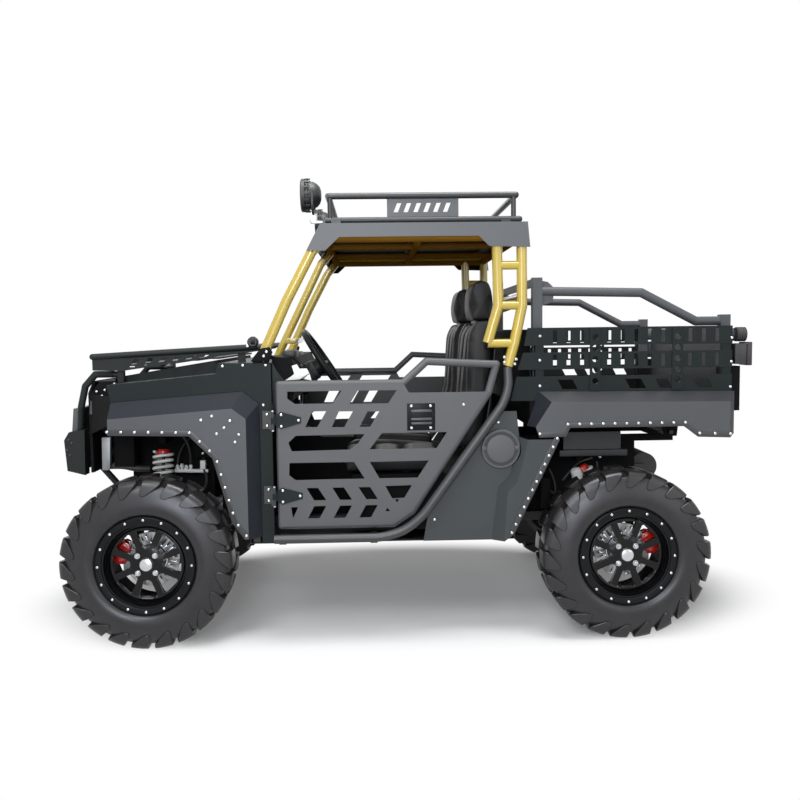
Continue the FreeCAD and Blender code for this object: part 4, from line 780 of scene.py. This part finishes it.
for door in ("door_l", "door_r"):
    repaint(skins[door], darkPowder, lambda f: abs(f.center.y) > doorFace)
    # the door's inward faces in satin black: painted shade
    repaint(skins[door], blackPowder, lambda f: f.normal.y * f.center.y < -0.1 and abs(f.center.y) > 0.67)

print("stage: trim and bolts")


def beside(points, gap):
    # the same line of x, z corners moved to its left by gap, with mitred corners
    spots = [Vector(p) for p in points]
    ways = [(b - a).normalized() for a, b in zip(spots, spots[1:])]
    found = []
    for i, spot in enumerate(spots):
        before, after = ways[max(i - 1, 0)], ways[min(i, len(ways) - 1)]
        side = Vector((-(before + after).y, (before + after).x)).normalized()
        found.append(spot + side * gap / side.dot(Vector((-after.y, after.x))))
    return [tuple(p) for p in found]


def bothSides(name, piece):
    # the left piece with its mirror image, as one
    return done(joined(name, [piece, twin(piece, name, mirror)]))


# darker steel strip that stiffens the edge of each wheel arch, with its row of bolts;
# runs of bolts are (first corner, last corner, count) on the line of the strip
arches = {
    "frontFender": {"body": "chassis", "width": 24, "inset": 15, "runs": [(0, 4, 16)],
                    "line": [(-1152, 888), (-818, 880), (-724, 786), (-649, 512), (-604, 450)]},
    "quarter": {"body": "chassis", "width": 24, "inset": 12, "runs": [(0, 1, 12)],
                "line": [(532, 444), (724, 841)]},
    "bedFender": {"body": "bed", "width": 22, "inset": 15, "runs": [(0, 1, 1), (2, 3, 11), (4, 5, 3)],
                  "line": [(640, 851), (749, 853), (767, 890), (1249, 890), (1310, 844), (1446, 839)]}}
archY = 692
for name, arch in arches.items():
    strip = sidePlate(name + "Trim", arch["line"] + beside(arch["line"], arch["width"])[::-1], -archY - 2.5, 2.5, 0.8)
    settle(bothSides(name + "Trim", strip), arch["body"], trimPowder, "powder_dark")
    bolted = beside(arch["line"], arch["inset"])
    spots = [spot for first, last, count in arch["runs"] for spot in along(bolted[first:last + 1], count)]
    fasten(name + "Bolts", arch["body"], row(spots, archY + 2.3))

# bolts of the cowl sides, fenders, hinge posts and quarter panels
chassisBolts = {640: [(-681, 1166), (-597, 1168), (-502, 1168), (-515, 1001)],
                692: [(-767, 946), (-722, 962), (-648, 942), (-673, 913), (-704, 888), (-613, 884), (-629, 853)],
                646: [(-501, 962), (-501, 914), (-501, 644), (-501, 596)],
                652: [(198, 503), (472, 914)]}
fasten("bodyBolts", "chassis", [spot for y, points in chassisBolts.items() for spot in row(points, y)])
fasten("wingBolts", "chassis", row([(-1404, 842), (-1391, 828), (-1411, 798), (-1400, 775)], 430), 5.5, trimPowder)
fasten("bedBolts", "bed", row([(655, 1274), (1477, 1257), (654, 1171), (1476, 1156), (654, 1062), (1473, 1048)], 620))

# door: strap bolts, latch in its recessed frame with a paddle, hinge pins
hingeZ = (938, 620)
latchCorners = ((104, 990), (184, 990), (104, 899), (184, 899))
for side, sign in sides:
    body = "door_" + side
    strapSpots = [(x, z + dz) for z in hingeZ for x, dz in ((-438, 24), (-438, -24), (-366, 0))]
    spots = [(at(x, sign * 680, z), (0, sign, 0)) for x, z in strapSpots]
    spots += [(at(x, sign * 679, z), (0, sign, 0)) for x, z in latchCorners]
    spots += [(at(323, sign * 676, 993), (0, sign, 0))]
    fasten("doorBolts_" + side, body, spots)
    turn = toSide[side]
    edgeFrame = sidePlate("latchFrame", [(86, 888), (203, 888), (203, 1001), (86, 1001)], -679, 3, 1)
    cup = sidePlate("latchCup", [(98, 912), (192, 912), (192, 978), (98, 978)], -684, 6, 1.5)
    settle(moved(joined("latchFrame_" + side, [edgeFrame, cup]), turn), body, ringEnamel, "powder_black")
    slats = [plate("slat", [at(103, -684, z), at(188, -684, z), at(188, -688, z - 3), at(103, -688, z - 3)],
                   (0, 0.001, 0.008), 0.6) for z in (968, 934, 917)]
    settle(moved(done(joined("latchPaddle_" + side, slats)), turn), body, trimPowder, "steel")
    pins = [moved(lathe("pin", [(0, -4), (5.5, -4), (5.5, 0), (5.5, 4), (0, 4)], 16, (0, 0, 1)),
                  Matrix.Translation(at(-472, sign * 688, z + dz))) for z in hingeZ for dz in (-40, 40)]
    settle(done(joined("hingePins_" + side, pins)), "chassis", zincSteel, "steel")

# fuel cap: bolted flange, a black ring in its groove that paints the groove's shade, and a lid with two ears
cap = [lathe("capFlange", [(0, 6), (0, -6), (66, -6), (68, -3), (71, -3), (73, -9), (80, -9), (84, -4), (84, 6)], 72),
       lathe("capLid", [(0, -4), (0, -11), (50, -11), (59, -9), (61, -5), (61, -4)], 72)]
capPlace = Matrix.Translation(at(481, -654, 802))
# black ring in the groove: painted shade
paintedGrooveShade = lathe("capGroovePaintedShade", [(61, -5), (61, -7), (67.5, -7), (67.5, -5)], 72)
settle(moved(paintedGrooveShade, capPlace), "chassis", blackPowder, "powder_black")
for x in (-70, 70):
    cap.append(plate("capEar", [Vector((x + a, -10, b)) / 1000 for a, b in ((-9, -5), (9, -5), (9, 12), (-9, 12))],
                     (0, 0.006, 0), 1.2))
settle(done(moved(joined("fuelCapLid", cap), capPlace)), "chassis", doorPowder, "powder_grey", "fuel_cap")

print("stage: springs")


def helix(turns, radius, height, wire):
    # a coil of wire that stands on the origin
    steps = turns * 14
    points = []
    for i in range(steps + 1):
        angle = math.tau * turns * i / steps
        points.append(Vector((radius * math.cos(angle), radius * math.sin(angle), height * i / steps)) / 1000)
    return tube("coil", points, wire, 0)


springLook = {           # foot, top and turns of the left strut at each end
    "front": ((-1000, -440, 486), (-1000, -385, 800), 10),
    "rear": ((1000, -440, 486), (880, -385, 690), 7)}
for end, (low, top, turns) in springLook.items():
    a, b = at(*low), at(*top)
    length = (b - a).length * 1000
    coil = moved(helix(turns, 41, length - 64, 6.5), Matrix.Translation((0, 0, 0.042)))
    damper = lathe("damper", [(0, 4), (9, 4), (12, 14), (12, 30), (20, 34), (20, length * 0.55), (17, length * 0.56),
                              (8, length * 0.57), (8, length - 30), (12, length - 14), (0, length - 8)], 28, (0, 0, 1))
    seats = [lathe("perch", [(20, 28), (46, 28), (46, 35), (42, 38), (20, 38)], 32, (0, 0, 1)),
             lathe("collar", [(8, length - 46), (26, length - 46), (29, length - 42), (29, length - 20),
                              (24, length - 12), (10, length - 10)], 32, (0, 0, 1))]
    for piece in (coil, damper, *seats):
        moved(piece, aim(b - a, a))
    for name, part, finish, slot in (("spring", [coil], whiteSpring, "spring"), ("damper", [damper], castIron, "cast"),
                                     ("springSeats", seats, redPowder, "spring")):
        replaced = ["coil_overs"] if name == "spring" and end == "front" else []
        settle(bothSides(name + "_" + end, joined(name, part)), "chassis", finish, slot, *replaced)

print("stage: lamps")


def roofLamp():
    # spot lamp along x, lens at -x: bezel, a cooling fin with its teeth, domed back
    house = lathe("spotHouse", [(0, 36), (20, 35), (37, 29), (49, 18), (57, 3), (60, -12), (60, -20), (69, -21),
                                (69, -26), (61, -27), (61, -33), (71, -34), (71, -48), (66, -52), (64, -46),
                                (0, -40)], 48, (1, 0, 0))
    teeth = []
    for i in range(16):
        tooth = plate("tooth", [Vector(p) / 1000 for p in ((-34, -5, 68), (-34, 5, 68), (-12, 4, 68), (-12, -4, 68))],
                      (0, 0, 0.005), 0.8, 1)
        teeth.append(moved(tooth, Matrix.Rotation(i * math.tau / 16, 4, "X")))
    return done(joined("spotHouse", [house] + teeth))


house = roofLamp()
glass = lathe("spotGlass", [(0, -52), (30, -51), (52, -48), (64, -44), (64, -40), (0, -38)], 48, (1, 0, 0))
yoke = tube("yoke", [Vector(p) / 1000 for p in ((0, -74, 4), (0, -74, -60), (0, -30, -84), (0, 30, -84),
                                                (0, 74, -60), (0, 74, 4))], 5, 16)
foot = joined("foot", [boxPiece("yokeFoot", (middleX - 15, -14, -116), (middleX + 15, 14, -80)),
                       boxPiece("yokeArm", (middleX - 15, -12, -120), (middleX + 45, 12, -110))])
for side, sign in sides:
    spot = Matrix.Translation(at(-302, sign * 450, 1895))
    whole = twin(house, "roofLamp_" + side, spot)
    settle(whole, "chassis", mouldedPlastic, "plastic_black", *(["roof_lamps"] if sign < 0 else []))
    settle(twin(glass, "roofLampGlass_" + side, spot), "chassis", clearLens, "lamp")
    settle(done(twin(yoke, "roofLampYoke_" + side, spot)), "chassis", trimPowder, "steel")
    settle(done(twin(foot, "roofLampFoot_" + side, spot)), "chassis", zincSteel, "steel")
drop(house, glass, yoke, foot)

# headlamps and tail lamps; the left one stands for the pair of solids
for side, sign in sides:
    pair = ["headlamps"] if sign < 0 else []
    low, high = sorted((sign * 284, sign * 436))
    lens = boxPiece("headlampLens_" + side, (-1302, low, 949), (-1296, high, 1016), 2)
    settle(lens, "chassis", smokedLens, "lamp", *pair)
    box = boxPiece("headlampBox_" + side, (-1296, low - 2, 946), (-1242, high + 2, 1019), 4)
    settle(box, "chassis", mouldedPlastic, "plastic_black")

for side, sign in sides:
    pair = ["tail_lamps"] if sign < 0 else []
    low, high = sorted((sign * 532, sign * 619))
    # housing with a raised rim of four bars round the recessed red lens
    parts = [boxPiece("tailBox", (1495, low + 3, 1144), (1546, high - 3, 1232), 2)]
    for y0, z0, y1, z1 in ((low - 2, 1138, low + 4, 1238), (high - 4, 1138, high + 2, 1238),
                           (low, 1138, high, 1144), (low, 1232, high, 1238)):
        parts.append(boxPiece("tailRim", (1546, y0, z0), (1566, y1, z1), 2))
    settle(done(joined("tailLampBox_" + side, parts)), "bed", blackPowder, "plastic_black", *pair)
    lens = boxPiece("tailLampLens_" + side, (1545, low + 5, 1145), (1553, high - 5, 1231), 2)
    settle(lens, "bed", redLens, "tail_lamp")

print("stage: seats")
# one seat is made from separate pads, filled together by cloth pressure, and copied to the other side
# lengths in metres but the middle, which is in millimetres from the machine's middle
seatLook = {"voxel": 0.010, "pressure": 4.0, "frames": 20, "cap": 0.012, "middle": -350, "fill": 0.75}
backFront = [(268, 802), (334, 1010), (350, 1180), (362, 1285), (392, 1340)]
backRear = [(404, 802), (444, 1000), (462, 1200), (466, 1290), (466, 1344)]


def backPad(start, stop, y0, y1):
    # a slice of the backrest between two shares of its depth, from y0 to y1
    near = [Vector(a).lerp(Vector(b), start) for a, b in zip(backFront, backRear)]
    far = [Vector(a).lerp(Vector(b), stop) for a, b in zip(backFront, backRear)]
    return sidePlate("pad", [tuple(p) for p in near + far[::-1]], y0, y1 - y0, 0)


def seatPads():
    # bolsters, two lumbar pads, the backrest behind them, headrest, cushion sides and three cushion pads
    pads = [backPad(0.0, 0.95, -584, -512), backPad(0.0, 0.95, -188, -116),
            backPad(0.10, 0.30, -504, -356), backPad(0.10, 0.30, -344, -196), backPad(0.36, 0.95, -504, -196),
            sidePlate("pad", [(384, 1346), (384, 1480), (398, 1512), (428, 1523), (458, 1512), (470, 1480),
                              (468, 1346)], -474, 248, 0)]
    for y in (-584, -192):
        pads.append(sidePlate("pad", [(-176, 704), (-180, 768), (-150, 790), (236, 768), (250, 704)], y, 76, 0))
    for x0, x1 in ((-182, -60), (-54, 76), (82, 246)):
        pads.append(sidePlate("pad", [(x0, 704), (x0, 772), (x1, 768), (x1, 704)], -500, 300, 0))
    for pad in pads:
        shape(pad, "REMESH", mode="VOXEL", voxel_size=seatLook["voxel"])
        shape(pad, "SMOOTH", factor=0.5, iterations=4)
    return joined("seat", pads)


def inflate(piece):
    # air pressure swells the pads, and no corner moves farther than the cap
    start = [v.co.copy() for v in piece.data.vertices]
    pick(piece)
    cloth = piece.modifiers.new("cloth", "CLOTH")
    cloth.settings.use_pressure = True
    cloth.settings.uniform_pressure_force = seatLook["pressure"]
    cloth.settings.effector_weights.gravity = 0
    cloth.point_cache.frame_start, cloth.point_cache.frame_end = 1, seatLook["frames"]
    for step in range(1, seatLook["frames"] + 1):
        bpy.context.scene.frame_set(step)
    bpy.ops.object.modifier_apply(modifier=cloth.name)
    bpy.context.scene.frame_set(1)
    for vertex, before in zip(piece.data.vertices, start):
        move = vertex.co - before
        if move.length > seatLook["cap"]:
            vertex.co = before + move * seatLook["cap"] / move.length


pads = seatPads()
inflate(pads)
shape(pads, "SUBSURF", levels=1, render_levels=1)
shell = [sidePlate("seatShell", [(404, 700), (414, 804), (446, 1000), (466, 1200), (470, 1352), (474, 1352),
                                 (470, 1200), (450, 1000), (410, 700)], -572, 444, 1),
         sidePlate("seatShell", [(404, 1330), (404, 1372), (462, 1372), (462, 1330)], -440, 180, 6)]
headEdges = (-463, -237)
piping = [tube("piping", [at(x, y, z) for x, z in ((398, 1352), (432, 1350), (467, 1352))], 3.0, 6) for y in headEdges]
piping.append(tube("piping", [at(396, y, 1352) for y in headEdges], 3.0, 0))
shell = joined("seatShell", shell)
piping = joined("seatPiping", piping)
shiftRight = Matrix.Translation((0, -2 * seatLook["middle"] / 1000, 0))
for side, sign in sides:
    turn = Matrix.Identity(4) if sign < 0 else shiftRight
    whole = done(twin(pads, "seat_" + side, turn), 180)
    settle(whole, "chassis", seatVinyl, "seat_vinyl", "seat_" + side[0])
    settle(done(twin(shell, "seatShell_" + side, turn)), "chassis", mouldedPlastic, "plastic_black")
    settle(done(twin(piping, "seatPiping_" + side, turn), 60), "chassis", seatVinyl, "seat_vinyl")
drop(pads, shell, piping)

print("stage: bars and brackets")
bar = tube("sideBar", [at(*p) for p in ((516, -626, 1142), (515, -664, 1025), (125, -706, 503), (8, -706, 444),
                                        (-474, -706, 444))], 19, 70, 16)
stays = [boxPiece("barStay", (x - 15, -704, 420), (x + 15, -612, 449)) for x in (-440, -60)]
settle(bothSides("sideBars", joined("sideBar", [bar] + stays)), "chassis", trimPowder, "powder_black", "side_bars")

# clamp that holds the foot of the rear hoop, with its four bolts
clamp = sidePlate("hoopClamp", [(421, 1224), (505, 1224), (491, 1165), (545, 1142), (560, 1190), (548, 1206),
                                (560, 1228), (560, 1236), (421, 1236)], -600, 12)
settle(bothSides("hoopClamps", clamp), "chassis", primerAndPaintedShade, "powder_black")
fasten("clampBolts", "chassis", row([(500, 1187), (500, 1166), (550, 1178), (544, 1158)], 640))
# brackets at the feet of the front bars
foot = [sidePlate("hoopFoot", [(-562, 1184), (-547, 1206), (-520, 1238), (-484, 1243), (-470, 1222), (-485, 1184)],
                  -654, 8),
        sidePlate("hoopFoot", [(-484, 1199), (-484, 1190), (-392, 1190), (-366, 1166), (-360, 1172), (-387, 1200)],
                  -588, 10)]
settle(bothSides("hoopFeet", joined("hoopFoot", foot)), "chassis", primerAndPaintedShade, "powder_black")
fasten("footBolts", "chassis", row([(-495, 1224), (-507, 1206)], 654))
# yellow tie plate between the middle and the far bar
tie = plate("tiePlate", [at(-470, -210, 1252), at(-470, 210, 1252), at(-452, 210, 1278), at(-452, -210, 1278)],
            (0.05, 0, 0), 2)
settle(tie, "chassis", yellowEnamel, "cage_yellow")

print("stage: cab")
# white bracket bolted to the cowl, with its stub
bracket = [sidePlate("cabBracket", [(-397, 1162), (-376, 1168), (-364, 1149), (-334, 1150), (-322, 1129),
                                    (-363, 1104), (-426, 1100), (-387, 1127)], -604, 16, 3),
           sidePlate("cabBracket", [(-349, 1106), (-322, 1128), (-314, 1098)], -602, 10, 2)]
settle(bothSides("cabBrackets", joined("cabBracket", bracket)), "chassis", whiteSpring, "steel")
flange = sidePlate("cowlFlange", [(-478, 1182), (-455, 1139), (-424, 1100), (-424, 960), (-478, 960)], -624, 3)
settle(bothSides("cowlFlanges", flange), "chassis", darkPowder, "powder_dark")
# folded boot over the steering column
way = Vector((0.835, 0, 0.55)).normalized()
hub = at(-271, -330, 1166)
boot = lathe("columnBoot", [(0, -150), (62, -150), (64, -138), (56, -130), (60, -118), (52, -110), (56, -98),
                            (48, -90), (51, -78), (44, -70), (46, -58), (42, -50), (0, -50)], 40, (0, 0, 1))
settle(done(moved(boot, aim(way, hub)), 60), "chassis", mouldedPlastic, "plastic_black")
# instrument pod and switch panel
pod = [boxPiece("pod", (-452, -424, 1186), (-396, -236, 1226), 12),
       boxPiece("pod", (-452, -120, 1186), (-404, 120, 1212), 8)]
pod += [boxPiece("switch", (-372, y, 1140), (-364, y + 26, 1164), 3) for y in (-130, -90, -50, -10, 30, 70)]
settle(done(joined("instrumentPod", pod)), "chassis", mouldedPlastic, "plastic_black")

# sheet behind the seats that closes the cab towards the bed
bulkhead = boxPiece("cabBulkhead", (505, -560, 700), (509, 560, 1010))
settle(bulkhead, "chassis", primerAndPaintedShade, "powder_black")

print("stage: nose")
# inner cheek, wrap of the headlamp, oil cooler with its ears and pipe, end of the front hoop
for side, sign in sides:
    turn = toSide[side]
    cheek = sidePlate("noseCheek", [(-1246, 1100), (-1166, 1100), (-1166, 1020), (-1152, 990), (-1152, 880),
                                    (-1236, 880), (-1292, 940), (-1294, 1040)], -468, 5, 2)
    settle(moved(cheek, turn), "chassis", primerAndPaintedShade, "powder_black")
    wrap = sidePlate("lampWrap", [(-1288, 1022), (-1245, 990), (-1250, 968), (-1268, 952), (-1293, 960)], -476, 8, 3)
    settle(moved(wrap, turn), "chassis", smokedLens, "lamp")
    ear = sidePlate("coolerEar", [(-1254, 853), (-1216, 854), (-1222, 712), (-1232, 706), (-1257, 708)], -446, 26, 3)
    settle(moved(ear, turn), "chassis", castAluminium, "steel")
    cooler = boxPiece("coolerBox", (-1212, -420, 716), (-1120, -300, 868), 5)
    settle(moved(cooler, turn), "chassis", primerAndPaintedShade, "plastic_black")
    pipe = tube("coolerPipe", [at(-1236, -404, 719), at(-1170, -404, 719), at(-1120, -400, 704),
                               at(-1066, -380, 700)], 14, 40)
    settle(moved(pipe, turn), "chassis", castIron, "steel")
    tower = tube("hoopEnd", [at(-1192, -440, 1131), at(-1160, -446, 1131), at(-1146, -470, 1132)], 14, 20)
    settle(moved(tower, turn), "chassis", blackPowder, "powder_black")
fasten("noseBolts", "chassis", row([(-1260, 1057), (-1225, 1063), (-1239, 1037), (-1182, 1090)], 468), 6.0)
# work lamp at the rear corner of the hood rack
lamp = lathe("rackLamp", [(0, -24), (18, -24), (23, -18), (23, 14), (18, 20), (0, 20)], 28)
settle(done(moved(lamp, Matrix.Translation(at(-571, -500, 1264)))), "chassis", mouldedPlastic, "plastic_black")
fasten("rackLampBolt", "chassis", [(at(-593, -515, 1247), (0, -1, 0))], 7.5)

# rubber end of each rear tie-down drum, ribbed
oneRib, ribPitch = ((29, 0), (31, 2), (31, 7), (27, 8)), 11
drumLine = [(0, 0)] + [(r, x + i * ribPitch) for i in range(4) for r, x in oneRib] + [(0, 43)]
for side, sign in sides:
    ribs = lathe("drumEnd", drumLine, 32, (1, 0, 0))
    settle(done(moved(ribs, Matrix.Translation(at(1504, sign * 590, 1271)))), "bed", mouldedPlastic, "plastic_black")

print("stage: wheel bays")
# brake manifold, lines and hoses inside the arches
for side, sign in sides:
    turn = toSide[side]
    parts = [tube("manifold", [at(-972, -310, 680), at(-818, -310, 675)], 9, 0),
             boxPiece("manifold", (-852, -324, 684), (-828, -296, 726), 3)]
    for x, z in ((-957, 700), (-937, 705), (-918, 698), (-897, 703)):
        fitting = lathe("fitting", [(0, -22), (5, -22), (5, -10), (9, -10), (9, -2), (6, 0), (6, 6), (0, 6)], 16,
                        (0, 0, 1))
        parts.append(moved(fitting, Matrix.Translation(at(x, -310, z))))
    settle(moved(done(joined("brakeManifold", parts)), turn), "chassis", whiteSpring, "steel")
    hoses = [((-957, -310, 705), (-950, -306, 770), (-900, -280, 830), (-840, -276, 900)),
             ((-897, -310, 706), (-890, -330, 780), (-930, -330, 860), (-1080, -280, 880)),
             ((-840, -310, 724), (-820, -340, 800), (-780, -340, 840), (-700, -300, 860)),
             ((-840, -310, 684), (-810, -340, 640), (-850, -400, 560), (-900, -430, 470)),
             ((735, -420, 673), (756, -420, 640), (768, -424, 566), (740, -424, 500)),
             ((796, -420, 620), (830, -424, 664), (880, -380, 700), (960, -300, 705)),
             ((950, -424, 705), (958, -420, 660), (940, -400, 600), (900, -424, 520)),
             ((690, -440, 700), (700, -450, 600), (760, -430, 560), (860, -424, 540))]
    for i, line in enumerate(hoses):
        hose = tube("hose", [at(*p) for p in line], 6 if i % 2 else 4.5, 40, 8)
        settle(moved(hose, turn), "chassis", mouldedPlastic if i % 3 else castIron, "plastic_black")
    # gas bottle of the rear damper
    bottle = lathe("shockBottle", [(0, -40), (20, -40), (24, -34), (24, 34), (20, 38), (12, 44), (0, 44)], 32,
                   (0, 0, 1))
    moved(bottle, aim((-0.25, 0, 1), at(862, -428, 636)))
    settle(moved(done(bottle), turn), "chassis", whiteSpring, "cast")
    housing = [boxPiece("airDuct", (690, -455, 500), (736, -380, 640), 8),
               boxPiece("airDuct", (-880, -330, 740), (-790, -290, 850), 8)]
    settle(moved(done(joined("ducts", housing)), turn), "chassis", primerAndPaintedShade, "plastic_black")
fasten("bayBolts", "chassis", row([(964, 726)], 424) + row([(-872, 842), (-800, 842), (-836, 760)], 332), 7.0)

drop(screw, nut)
